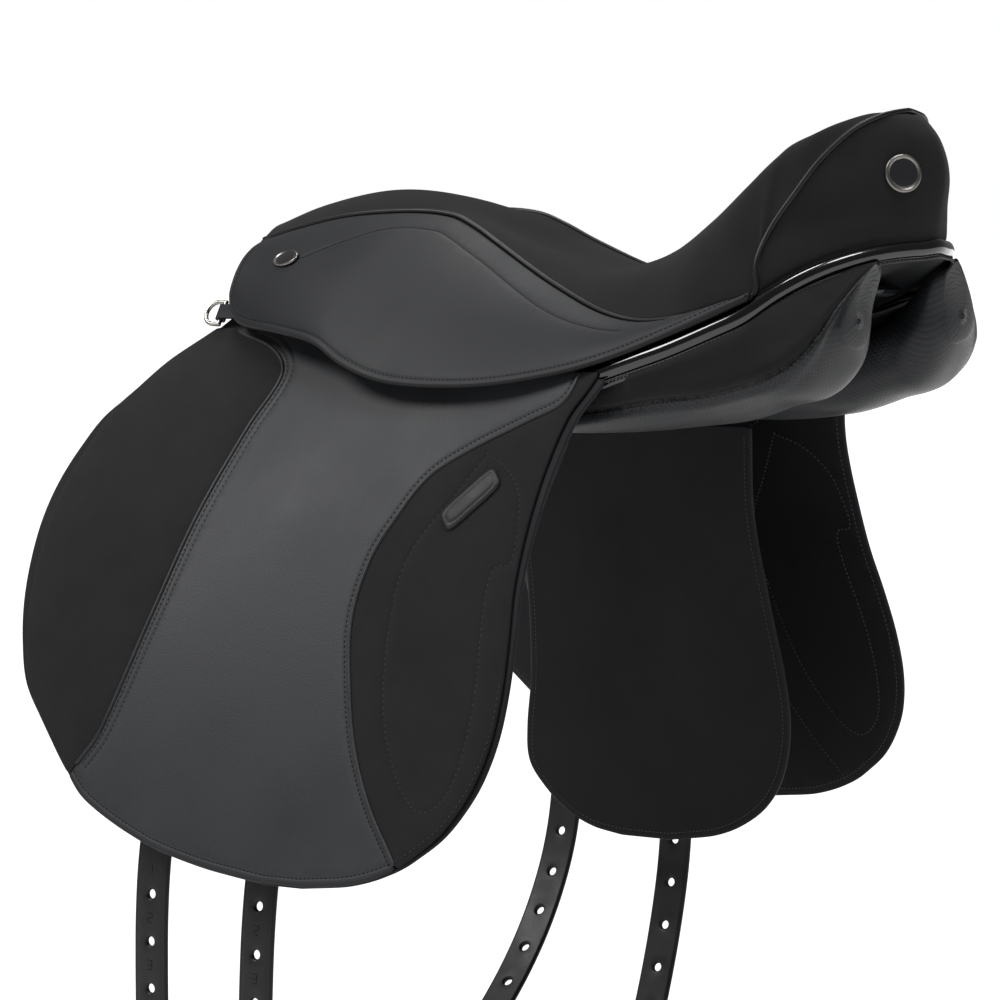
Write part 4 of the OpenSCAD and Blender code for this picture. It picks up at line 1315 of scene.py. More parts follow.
@dataclass
class Flap:
    """One flap: a base of lining leather with a suede knee, a calf middle and a suede thigh sewn on."""

    side: Side
    base: float = 2.6
    overlay: float = 1.6
    step: float = 0.4
    fold_height: float = 30.0
    web_height: float = 66.0
    web_clear: float = 3.0
    hem_inset: float = 5.2
    hem_top: float = 36.0
    out: Table = (
        (-260, 259), (-200, 242), (-150, 225), (-100, 206), (-50, 185), (0, 161), (30, 147), (60, 130),
        (90, 112),
    )
    yaw: Table = ((-260, -0.03), (-150, -0.03), (-60, 0), (0, 0.05), (60, 0.13), (90, 0.16))
    front: Table = (
        (-256, -80), (-250, -128), (-240, -172), (-219, -222), (-202, -242), (-171, -272), (-151, -290),
        (-127, -302), (-103, -311), (-79, -317), (-54, -321), (-29, -322), (-7, -319), (12, -313),
        (28, -299),
        (46, -285), (63, -264), (74, -250), (84, -236),
    )
    rear: Table = (
        (-256, -52), (-252, -18), (-242, 12), (-230, 31), (-218, 45), (-199, 58), (-182, 65), (-160, 69),
        (-134, 69), (-106, 66), (-78, 62), (-50, 61), (-21, 62), (2, 65), (23, 71), (36, 79), (50, 86),
        (72, 92), (84, 94),
    )
    front_seam: Table = (
        (-256, -275), (-220, -250), (-198, -235), (-176, -221), (-109, -205), (-43, -194), (8, -184),
        (33, -177), (45, -182), (56, -203), (64, -236), (84, -270),
    )
    rear_seam: Table = (
        (-256, 22), (-239, 14), (-208, -10), (-175, -29), (-141, -42), (-101, -53), (-66, -51), (-43, -42),
        (-16, -26), (0, -2), (19, 37), (28, 56), (40, 63), (84, 66),
    )
    top: Table = ((-300, 83), (-60, 82), (-30, 70), (4, 60), (50, 48), (90, 44))
    quilt: Table = (
        (12, -2), (32, -10), (46, -26), (50, -42), (53, -66), (40, -64), (38, -82), (49, -141), (47, -188),
        (34, -206), (22, -207), (8, -195), (-9, -168), (-20, -134), (-27, -85), (-25, -65), (-18, -49),
        (-8, -35),
    )
    front_inset: Table = (
        (-256, 1.3), (-196, 1.3), (-150, 3.5), (-100, 7), (-40, 9), (0, 8), (24, 3), (40, 1.5), (84, 1.3)
    )
    rear_inset: Table = ((-256, 1.3), (-246, 1.5), (-225, 3), (-100, 4), (20, 6.2), (60, 6.8), (84, 6.8))
    label_at: tuple[float, float] = (11, -29)
    label_half: tuple[float, float] = (20.5, 7.5)

    def surface(self, x: np.ndarray, z: np.ndarray) -> np.ndarray:
        """The near flap's outer surface."""
        y = smooth(self.out, z) - smooth(self.yaw, z) * (60 - x)
        return np.stack([x, -y, z], axis=-1)

    def base_surface(self, x: np.ndarray, z: np.ndarray) -> np.ndarray:
        """The same surface, brought out near the top, where the base lies over the webs on its own."""
        share = np.clip((z - self.web_height) / 9, 0, 1)
        return self.surface(x, z) + np.array([0, -1, 0]) * (self.web_clear * share)[..., None]

    def _edge(self, table: Table, low: float, high: float) -> np.ndarray:
        """An edge of the flap between two heights, from low to high."""
        z = np.linspace(low, high, 500)
        return np.stack([smooth(table, z), z], axis=1)

    def _meets_top(self, table: Table) -> float:
        """The height at which an edge of the flap meets its top."""
        z = np.linspace(20, 84, 400)
        over = smooth(self.top, smooth(table, z)) - z
        return float(z[int(np.argmin(np.abs(over)))])

    def outline(self) -> np.ndarray:
        """The base layer's edge, from the bottom up the rear, along the top and down the front."""
        rear = self._edge(self.rear, -256, self._meets_top(self.rear))
        front = self._edge(self.front, -256, self._meets_top(self.front))
        x = np.linspace(rear[-1, 0], front[-1, 0], 60)[1:-1]
        top = np.stack([x, smooth(self.top, x)], axis=1)
        return rounded(resample(np.vstack([rear, top, front[::-1]]), 4.5, True), True, 2)

    def clipped(self, left: np.ndarray, right: np.ndarray, z: np.ndarray) -> np.ndarray:
        """A loop between two edges.

        Args:
            left: x of the front edge at each height.
            right: x of the rear edge at each height.
            z: Heights, from low to high.

        Returns:
            The loop, counter-clockwise.
        """
        keep = right - left > 1.0
        up = np.stack([right[keep], z[keep]], axis=1)
        down = np.stack([left[keep], z[keep]], axis=1)[::-1]
        return rounded(resample(np.vstack([up, down]), 4.0, True), True, 1)

    def _home(self) -> Bend:
        """Where the flap bends when it is lifted."""
        high, low = self.fold_height + 9, self.fold_height - 9
        body = f"{self.side.value}_flap_lower"
        return Bend("root", body, self.side.point((-100, -140, high)), self.side.point((-100, -150, low)))

    def make(self) -> None:
        """Builds the flap."""
        name, home, turn = self.side.value, self._home(), self.side.turn
        edge = self.outline()
        whole = Sheet(self.base_surface, edge, self.base, self.overlay + self.step + self.base / 2, 9.0)
        nodes = [f"{name}_flap", f"{name}_flap_upper"]
        piece(f"{name}_flap_base", turn(whole.mesh()), HARNESS_PAINTED_SHADE, "lining_leather", home, nodes)

        z = np.linspace(-255.2, 66, 1400)
        front = smooth(self.front, z) + smooth(self.front_inset, z)
        rear = smooth(self.rear, z) - smooth(self.rear_inset, z)
        seam_a, seam_b = smooth(self.front_seam, z), smooth(self.rear_seam, z)
        high = smooth(self.top, smooth(self.rear, 50.0)) + 4
        across, height = np.array(self.top[::-1]).T
        reach = np.where(z < high, 200, np.interp(z + 4, height, across))
        gap = 0.15
        knee = self.clipped(front, seam_a - gap, z)
        middle = self.clipped(
            np.maximum(seam_a + gap, front), np.minimum(np.minimum(seam_b - gap, rear), reach), z
        )
        thigh_rows = z < 48
        thigh = self.clipped((seam_b + gap)[thigh_rows], rear[thigh_rows], z[thigh_rows])

        hem = self._hem(edge, self.hem_inset)
        a_rows = [self._beside(self.front_seam, d, -194, 62) for d in (3.2, 7.6)]
        b_row = self._beside(self.rear_seam, 3.4, -236, 46, before=True)
        quilt = rounded(np.array([*self.quilt, self.quilt[0]], float), False, 3)
        half = self.overlay / 2
        middle_hem = stretches(hem, inside(hem, middle) & (distance_to(hem, middle, True) > 1.5))
        sheets = {
            "knee_suede": (
                Sheet(self.surface, knee, self.overlay, half, 7.0, crown=1.2, crown_run=30), SUEDE, "suede"
            ),
            "middle_calf": (
                Sheet(
                    self.surface, middle, self.overlay, half, 7.0, crown=0.5, crown_run=6,
                    channels=[*a_rows, b_row, *middle_hem]
                ),
                CALF, "smooth_leather"
            ),
            "thigh_suede": (
                Sheet(
                    self.surface, thigh, self.overlay, half, 7.0, crown=0.6, crown_run=14, channels=[quilt],
                    channel_depth=0.6, channel_half=1.1
                ),
                SUEDE, "suede"
            ),
        }
        stands = {"knee_suede": "knee_suede", "middle_calf": "flap_centre", "thigh_suede": "thigh_suede"}
        for key, (sheet, finish, slot) in sheets.items():
            piece(f"{name}_flap_{key}", turn(sheet.mesh()), finish, slot, home, [f"{name}_{stands[key]}"])

        sewn = Thread()
        lift = 0.05
        rows = [sewn.row(self.surface, r, lift) for r in (*a_rows, b_row, *middle_hem)]
        piece(f"{name}_flap_stitches", turn(joined(rows)), THREAD, "smooth_leather", home)
        thigh_hem = stretches(hem, inside(hem, thigh) & (distance_to(hem, thigh, True) > 1.5))
        dots = Thread(3.6, 1.5, 0.8, 0.7)
        fine = joined(
            [dots.row(self.surface, quilt, 0.1), *[dots.row(self.surface, r, 0.5) for r in thigh_hem]]
        )
        piece(f"{name}_flap_quilting", turn(fine), THREAD_GREY, "suede", home)
        inner = -(self.overlay + self.step + self.base)
        back = joined([sewn.row(self.surface, r, inner - 0.05) for r in (*a_rows, b_row, quilt, hem)])
        piece(f"{name}_flap_inner_stitches", turn(back), THREAD_GREY, "lining_leather", home)

        for label, table, low, top_at in (
            ("front", self.front_seam, -196, 64), ("rear", self.rear_seam, -237, 46)
        ):
            line = self._edge(table, low, top_at)
            point, normal = frame_on(self.surface, resample(line, 3))
            cord = tube(point + normal * 0.15, 1.25, 1.25, 10)
            piece(f"{name}_flap_{label}_welt", turn(cord), WELT, "smooth_leather", home)
        self._label()

    def _hem(self, edge: np.ndarray, inset: float) -> np.ndarray:
        """The sewn row inside the flap's edge, below the skirt, from the rear round to the front."""
        return run_below(aside(edge, inset, True), self.hem_top)

    def _beside(
        self, table: Table, distance: float, low: float, high: float, before: bool = False
    ) -> np.ndarray:
        """A row beside a seam.

        Args:
            table: The seam.
            distance: How far towards the rear the row lies.
            low: Lowest height.
            high: Highest height.
            before: True if the row lies in front of the seam.

        Returns:
            The row, from low to high.
        """
        line = resample(self._edge(table, low, high), 3)
        return aside(line, abs(distance) if before else -abs(distance))

    def _label(self) -> None:
        """A moulded tab on the thigh suede, left plain but for a raised border."""
        a, b = self.label_half
        c = math.sqrt(0.5)
        turn = np.linspace(0, 2 * math.pi, 60, endpoint=False)
        bend = 0.35
        u = a * np.sign(np.cos(turn)) * np.abs(np.cos(turn)) ** bend
        v = b * np.sign(np.sin(turn)) * np.abs(np.sin(turn)) ** bend
        loop = resample(np.stack([u, v], axis=1), 2.0, True)

        def on_flap(p: np.ndarray, q: np.ndarray) -> np.ndarray:
            """The flap's surface over the tab's own length and width."""
            return self.surface(self.label_at[0] + c * (p - q), self.label_at[1] + c * (p + q))

        border = [resample(np.vstack([loop, loop[:1]]) * [1 - 2.6 / a, 1 - 2.6 / b], 2.0)]
        sheet = Sheet(
            on_flap, loop, 2.6, -1.3, 3.0, crown=0.8, crown_run=5, channels=border, channel_depth=0.5,
            channel_half=0.6
        )
        name = self.side.value
        home = f"{name}_flap_lower"
        piece(
            f"{name}_flap_tab", self.side.turn(sheet.mesh()), RUBBER, "rubber_label", home, [f"{name}_label"]
        )


@dataclass
class Keepers:
    """Leather inside the flap: a shield over the girth buckles and two loops for the straps."""

    flap: Flap
    depth: float = 4.9
    shield: tuple[float, float, float, float] = (-186, -66, -98, -38)
    loops: Table = ((-185, -127), (-98, -127))
    loop_half: tuple[float, float] = (22, 9)

    def _box(self, x0: float, x1: float, z0: float, z1: float) -> np.ndarray:
        """A loop round a rectangle with rounded corners."""
        corners = np.array([[x0, z0], [x1, z0], [x1, z1], [x0, z1]])
        return rounded(resample(rounded(resample(corners, 12, True), True, 2), 3, True), True, 1)

    def make(self) -> None:
        """Builds both."""
        side, surface = self.flap.side, self.flap.surface
        parts = [Sheet(surface, self._box(*self.shield), 1.6, self.depth + 0.8, 8.0)]
        for x, z in self.loops:
            a, b = self.loop_half
            parts.append(Sheet(surface, self._box(x - a, x + a, z - b, z + b), 2.4, self.depth + 1.2, 5.0))
        name = side.value
        home = f"{name}_flap_lower"
        mesh = joined([p.mesh() for p in parts])
        piece(f"{name}_inner_keepers", side.turn(mesh), HARNESS_PAINTED_SHADE, "lining_leather", home, [f"{name}_keepers"])
        sewn = Thread(3.2, 2.2, 0.7, 0.5)
        x0, x1, z0, z1 = self.shield
        rows = [sewn.row(surface, self._box(x0 + 4, x1 - 4, z0 + 4, z1 - 4), -self.depth - 1.7, True)]
        for x, z in self.loops:
            for s in (-1, 1):
                line = np.array([[x + s * 18, z - 7], [x + s * 18, z + 7]])
                rows.append(sewn.row(surface, line, -self.depth - 2.5))
        piece(f"{name}_keeper_stitches", side.turn(joined(rows)), THREAD_GREY, "lining_leather", home)


# How far each sweat flap leans out from straight down, in degrees.
SWEAT_FLAP_LEAN = {Side.NEAR: 25.5, Side.FAR: 14.0}


@dataclass
class SweatFlap:
    """The sweat flap under the flap, with its knee block."""

    side: Side
    lean: float
    thickness: float = 3.0
    hem_inset: float = 5.0
    hem_top: float = -8.0
    hinge: tuple[float, float] = (-101, 4)
    front: Table = (
        (-292, -118), (-288, -140), (-278, -160), (-262, -176), (-244, -186), (-220, -184), (-180, -174),
        (-120, -166), (-60, -164), (0, -170),
    )
    rear: Table = (
        (-292, -78), (-286, -42), (-274, -14), (-258, 6), (-236, 20), (-205, 29), (-170, 30), (-120, 26),
        (-60, 23), (0, 30),
    )

    def surface(self, x: np.ndarray, z: np.ndarray) -> np.ndarray:
        """The middle of the near sheet."""
        a = math.radians(self.lean)
        return np.stack([x, self.hinge[0] + z * math.sin(a), self.hinge[1] + z * math.cos(a)], axis=-1)

    def outline(self, inset: float = 0.0) -> np.ndarray:
        """The sheet's edge."""
        z = np.linspace(-292, 0, 500)
        up = np.stack([smooth(self.rear, z), z], axis=1)
        down = np.stack([smooth(self.front, z), z], axis=1)[::-1]
        loop = rounded(resample(np.vstack([up, down]), 4.5, True), True, 2)
        return aside(loop, inset, True) if inset else loop

    def block(self) -> Mesh:
        """The knee block, a padded dome along the front edge."""
        sides, rings = 28, []
        for s in np.linspace(0, 10, 44):
            t = s / 10
            full = math.sqrt(max(math.sin(math.pi * (0.02 + 0.96 * t)), 0.0))
            x, z = -146 + 8 * t - 22 * t * t, -62 - 128 * t
            e = np.linspace(0, math.pi, sides)
            a = np.stack([x + 17 * full * np.cos(e), np.full(sides, z)], axis=1)
            point, normal = frame_on(self.surface, a)
            lift = self.thickness / 2 + 0.2 + 9 * full * np.sin(e) ** 0.8
            rings.append(point + normal * lift[:, None])
        return closed_pad(np.array(rings))

    def make(self) -> None:
        """Builds the sweat flap."""
        name, home = self.side.value, f"{self.side.value}_sweat"
        edge, hem = self.outline(), run_below(self.outline(self.hem_inset), self.hem_top)
        sheet = Sheet(self.surface, edge, self.thickness, 0.0, 9.0, channels=[hem], channel_depth=0.35)
        # The near black leather here carries painted shade for the shadow that the sweat flap lies in under
        # the flap.
        piece(
            f"{name}_sweat_leather", self.side.turn(sheet.mesh()), HARNESS_PAINTED_SHADE, "lining_leather", home,
            [f"{name}_sweat_flap"]
        )
        sewn = Thread(3.0, 2.1, 0.7, 0.5)
        rows = [sewn.row(self.surface, hem, k * (self.thickness / 2 - 0.05)) for k in (-1, 1)]
        piece(f"{name}_sweat_stitches", self.side.turn(joined(rows)), THREAD_GREY, "lining_leather", home)
        piece(
            f"{name}_knee_pad", self.side.turn(self.block()), BLOCK, "block_leather", home,
            [f"{name}_knee_block"]
        )


def closed_pad(grid: np.ndarray) -> Mesh:
    """A pad from a grid over its top, closed underneath by a flat sheet.

    Args:
        grid: Rows from one end to the other, each from one foot of the pad to the other.

    Returns:
        The pad.
    """
    n, m = grid.shape[:2]
    verts = grid.reshape(-1, 3)
    faces = grid_faces(n, m)
    under = [(i * m + m - 1, (i + 1) * m + m - 1, (i + 1) * m, i * m) for i in range(n - 1)]
    ends = [tuple(range(m)), tuple((n - 1) * m + j for j in range(m - 1, -1, -1))]
    mesh = Mesh(verts, faces + under + ends)
    return mesh if signed_volume(mesh) > 0 else Mesh(verts, [f[::-1] for f in mesh.faces])


@dataclass
class Panel:
    """One wool filled panel: a suede gusset above, perforated leather below and behind."""

    side: Side
    stations: Table = (
        (-214, 64, 64, 22, 6, 50), (-208, 66, 62, 34, 9, 50), (-190, 68, 58, 42, 12, 48),
        (-150, 70, 55, 44, 13, 44), (-100, 71, 48, 43, 16, 36), (-50, 72, 40, 45, 19, 26),
        (0, 73, 33, 45, 20, 16), (50, 75, 31, 47, 21, 8), (90, 77, 36, 48, 24, 2),
        (130, 76, 42, 45, 25, -4), (162, 72, 54, 41, 27, -8), (184, 67, 62, 39, 29, -10),
        (198, 63, 71, 31, 25, -10), (206, 60, 78, 18, 16, -10),
    )
    power: float = 0.8
    seam: Table = (
        (0, 0), (6.5, -2), (7.75, -9), (8.65, -16), (9.5, -31), (10.1, -37), (10.8, -33), (11.65, -24),
        (12.3, -8), (12.75, 18), (13, 40),
    )
    corner_turn: float = 50.0
    corner_reach: float = 72.0
    inner_reach: float = 50.0
    suede_turn: float = 100.0
    dome: float = 3.0
    tip_reach: float = 7.0
    tip_rise: float = 1.5
    rows: int = 230
    cols: int = 160

    def ring(self, t: np.ndarray, turn: np.ndarray, grow: float = 0.0) -> np.ndarray:
        """Points of the panel's plain form.

        Args:
            t: Stations.
            turn: Angles round the panel in degrees: 0 is outwards and 90 is up.
            grow: How far outside the leather.

        Returns:
            The points.
        """
        s = curve(self.stations, t)
        tilt, e = np.radians(s[..., 5]), np.radians(turn)
        p = np.sign(np.cos(e)) * np.abs(np.cos(e)) ** self.power * (s[..., 3] + grow)
        q = np.sign(np.sin(e)) * np.abs(np.sin(e)) ** self.power * (s[..., 4] + grow)
        y = s[..., 1] + p * np.cos(tilt) + q * np.sin(tilt)
        z = s[..., 2] - p * np.sin(tilt) + q * np.cos(tilt)
        return np.stack([s[..., 0], -y, z], axis=-1)

    def under_band(self, x: np.ndarray) -> np.ndarray:
        """Points just under the band, where the gusset is sewn in."""
        path = Band().path()
        near = path[: len(path) // 2]
        y, z = np.interp(x, near[:, 0], near[:, 1]), np.interp(x, near[:, 0], near[:, 2])
        back = np.clip((x - 186) / 20, 0, 1) ** 2
        return np.stack([x + self.tip_reach * back, y + 1.5, z - 4.2 + self.tip_rise * back], axis=-1)

    def lifted(self, t: np.ndarray, turn: np.ndarray, grow: float = 0.0) -> np.ndarray:
        """Points of the panel with its upper outer corner drawn up to the band.

        Args:
            t: Stations.
            turn: Angles round the panel in degrees.
            grow: How far outside the leather.

        Returns:
            The points.
        """
        plain = self.ring(t, turn, grow)
        corner = self.ring(t, np.full(np.shape(t), self.corner_turn))
        pull = self.under_band(corner[..., 0]) - corner
        off = np.abs((turn - self.corner_turn + 180) % 360 - 180)
        inner = (turn - self.corner_turn + 360) % 360 < 180
        wide = self.corner_reach + np.where(inner, self.inner_reach, 0) * np.clip(
            (corner[..., 0] - 165) / 35, 0, 1
        )
        share = np.cos(np.clip(off / wide, 0, 1) * math.pi / 2) ** 2
        share = share * np.clip((corner[..., 0] - 62) / 34, 0, 1)
        return plain + pull * share[..., None]

    def make(self) -> None:
        """Builds the panel."""
        name, n = self.side.value, self.cols
        last = len(self.stations) - 1
        t = np.linspace(0, last, self.rows)
        share = np.linspace(0, 1, n, endpoint=False)
        turn = smooth(self.seam, t)[:, None] + 360 * share[None]
        grid = self.lifted(np.repeat(t[:, None], n, 1), turn)
        final = grid[-1]
        middle = np.array([self.stations[-1][0], -self.stations[-1][1], self.stations[-1][2]], float)
        caps = []
        for k in np.linspace(0.12, 0.995, 16):
            close = math.sqrt(1 - k * k)
            plain = self.ring(np.full(n, float(last)), turn[-1])
            lift = (final - plain) * (1 - k) ** 1.2
            caps.append(middle + (plain - middle) * close + lift + [self.dome * k, 0, 0])
        nose = np.array([self.stations[0][0], -self.stations[0][1], self.stations[0][2]], float)
        front = [
            nose + (grid[0] - nose) * math.sqrt(1 - k * k) - [4 * k, 0, 0] for k in (0.95, 0.8, 0.5, 0.2)
        ]
        grid = np.vstack([np.array(front), grid, np.array(caps)])
        heads, tails = [turn[0, 0]] * len(front), [turn[-1, 0]] * len(caps)
        bottom = ((270 - np.array([*heads, *turn[:, 0], *tails])) / 360) % 1
        flat = self._unrolled(grid, bottom)
        calm = np.clip((len(grid) - len(caps) - np.arange(len(grid))) / 14, 0, 1)[:, None]
        grid = grid + (calm * self._relief(flat, share))[..., None] * self._normals(grid)
        count = len(grid)
        ends = np.array([grid[0].mean(0), grid[-1].mean(0)])
        faces = grid_faces(count, n, wrap=True)
        faces += [(count * n, (j + 1) % n, j) for j in range(n)]
        faces += [(count * n + 1, (count - 1) * n + j, (count - 1) * n + (j + 1) % n) for j in range(n)]
        stop = (self.suede_turn - turn[:, 0]) / 360 * np.clip((last - t) / 0.7, 0, 1)
        stop = [*[stop[0]] * len(front), *stop, *[0.0] * len(caps)]
        suede = [1 if (k % n) / n < stop[k // n] else 0 for k in range((count - 1) * n)]
        flats = np.vstack([flat.reshape(-1, 2), [flat[0].mean(0), flat[-1].mean(0)]])
        mesh = Mesh(np.vstack([grid.reshape(-1, 3), ends]), faces, flats, None, suede + [0] * (2 * n))
        if signed_volume(mesh) < 0:
            mesh.faces = [f[::-1] for f in mesh.faces]
        finishes = (PANEL, SUEDE)
        piece(
            f"{name}_flocked_panel", self.side.turn(mesh), finishes, "panel_leather", "root",
            [f"{name}_panel"]
        )
        self._sewing()

    def _sewing(self) -> None:
        """The stitches beside the seam and the piping where the gusset meets the band."""
        name = self.side.value
        at = np.linspace(6.2, 12.55, 140)
        line = resample(self.lifted(at, smooth(self.seam, at) - 4.5, 0.5), 3.0)
        middle = curve(
            np.array(self._middles()), np.interp(line[:, 0], np.array(self._middles())[:, 0], np.arange(14))
        )
        sewn = Thread(3.0, 2.2, 0.8, 0.6).sewn(line, np.gradient(line, axis=0), unit(line - middle))
        piece(f"{name}_panel_stitches", self.side.turn(sewn), THREAD_GREY, "panel_leather", "root")
        x = np.linspace(78, 192, 80)
        cord = self.under_band(x) + np.array([0, -2.6, -3.4])
        mesh = tube(resample(cord, 3), 1.7, 1.7, 14)
        piece(
            f"{name}_panel_cord", self.side.turn(mesh), PATENT, "patent_leather", "root",
            [f"{name}_panel_piping"]
        )

    def _middles(self) -> list[list[float]]:
        """The middle of each station as a near side point."""
        return [[s[0], -s[1], s[2]] for s in self.stations]

    def _normals(self, grid: np.ndarray) -> np.ndarray:
        """Outward normals of the closed rings."""
        along = np.gradient(grid, axis=0)
        around = np.roll(grid, -1, axis=1) - np.roll(grid, 1, axis=1)
        n = unit(np.cross(along, around))
        middle = grid.mean(1, keepdims=True)
        return n * np.sign(((grid - middle) * n).sum(-1, keepdims=True))

    def _unrolled(self, grid: np.ndarray, bottom: np.ndarray) -> np.ndarray:
        """Length along and round the panel in millimetres, for the punched holes.

        Args:
            grid: The closed rings.
            bottom: Which point of each ring is lowest, as a fraction of the ring.

        Returns:
            Two lengths for each point, both measured from the bottom line.
        """
        rows = np.arange(len(grid))
        low = grid[rows, (bottom * grid.shape[1]).astype(int) % grid.shape[1]]
        along = np.concatenate([[0], np.cumsum(np.linalg.norm(np.diff(low, axis=0), axis=1))])
        around = np.linalg.norm(np.diff(grid, axis=1), axis=2)
        around = np.concatenate([np.zeros((len(grid), 1)), np.cumsum(around, axis=1)], axis=1)
        start = np.array(
            [np.interp(b * grid.shape[1], np.arange(grid.shape[1]), a) for a, b in zip(around, bottom)]
        )
        return np.stack([np.repeat(along[:, None], grid.shape[1], 1), around - start[:, None]], axis=-1)

    def _relief(self, flat: np.ndarray, share: np.ndarray) -> np.ndarray:
        """How far the wool and the seams push the leather out, in millimetres."""
        seam_gap = np.minimum(share, 1 - share)[None] * 300
        groove = -1.6 * np.exp(-((seam_gap / 3.0) ** 2)) + 1.2 * np.exp(-(((seam_gap - 12) / 9) ** 2))
        pucker = 0.35 * np.sin(flat[..., 0] * 2 * math.pi / 9) * np.exp(-((seam_gap / 9) ** 2))
        lumps = 0.5 * np.sin(flat[..., 0] / 17 + 1.3) * np.sin(flat[..., 1] / 13 + 0.6)
        return groove + pucker + lumps


@dataclass
class Lining:
    """Leather that closes the seat from below, from the head to the band."""

    rail: Table = (
        (-212, 46, 103), (-180, 49, 104), (-140, 52, 103), (-99, 54, 98), (-57, 58, 87), (-27, 62, 75),
        (4, 66, 65), (46, 70, 60), (80, 70, 65), (113, 66, 75), (139, 58, 85), (158, 46, 91), (226, 40, 96),
    )
    floor: Table = (
        (-256, 116), (-222, 121), (-180, 124), (-131, 124), (-99, 120), (-79, 114), (-57, 104), (-27, 92),
        (4, 80), (46, 70), (80, 74), (113, 84), (139, 97), (161, 106), (226, 114),
    )

    def make(self) -> None:
        """Builds the lining."""
        rail = np.array(self.rail, float)
        rows = []
        for s in np.linspace(0, 1, 90):
            x = -200 + 420 * s
            half = float(smooth(rail[:, :2], x)) + 11
            y = np.linspace(-1, 1, 41) * half
            v = np.clip(np.abs(y) / 102, 0, 1)
            end = FORM.foot(v)
            run = -200 + (end[:, 0] - 2 + 200) * s
            side = smooth(rail[:, [0, 2]], run) - 5.5
            middle = smooth(self.floor, run) - 8.5
            k = np.clip(np.abs(y) / 44, 0, 1)
            z = middle + (np.minimum(side, middle) - middle) * k * k * (3 - 2 * k)
            rise = np.clip((s - 0.86) / 0.14, 0, 1) ** 2
            rows.append(np.stack([run, y, z + (end[:, 2] - 3 - z) * rise], axis=1))
        grid = np.array(rows)
        piece("underseat_lining", shell(grid, 1.4), HARNESS_PAINTED_SHADE, "lining_leather", "root")


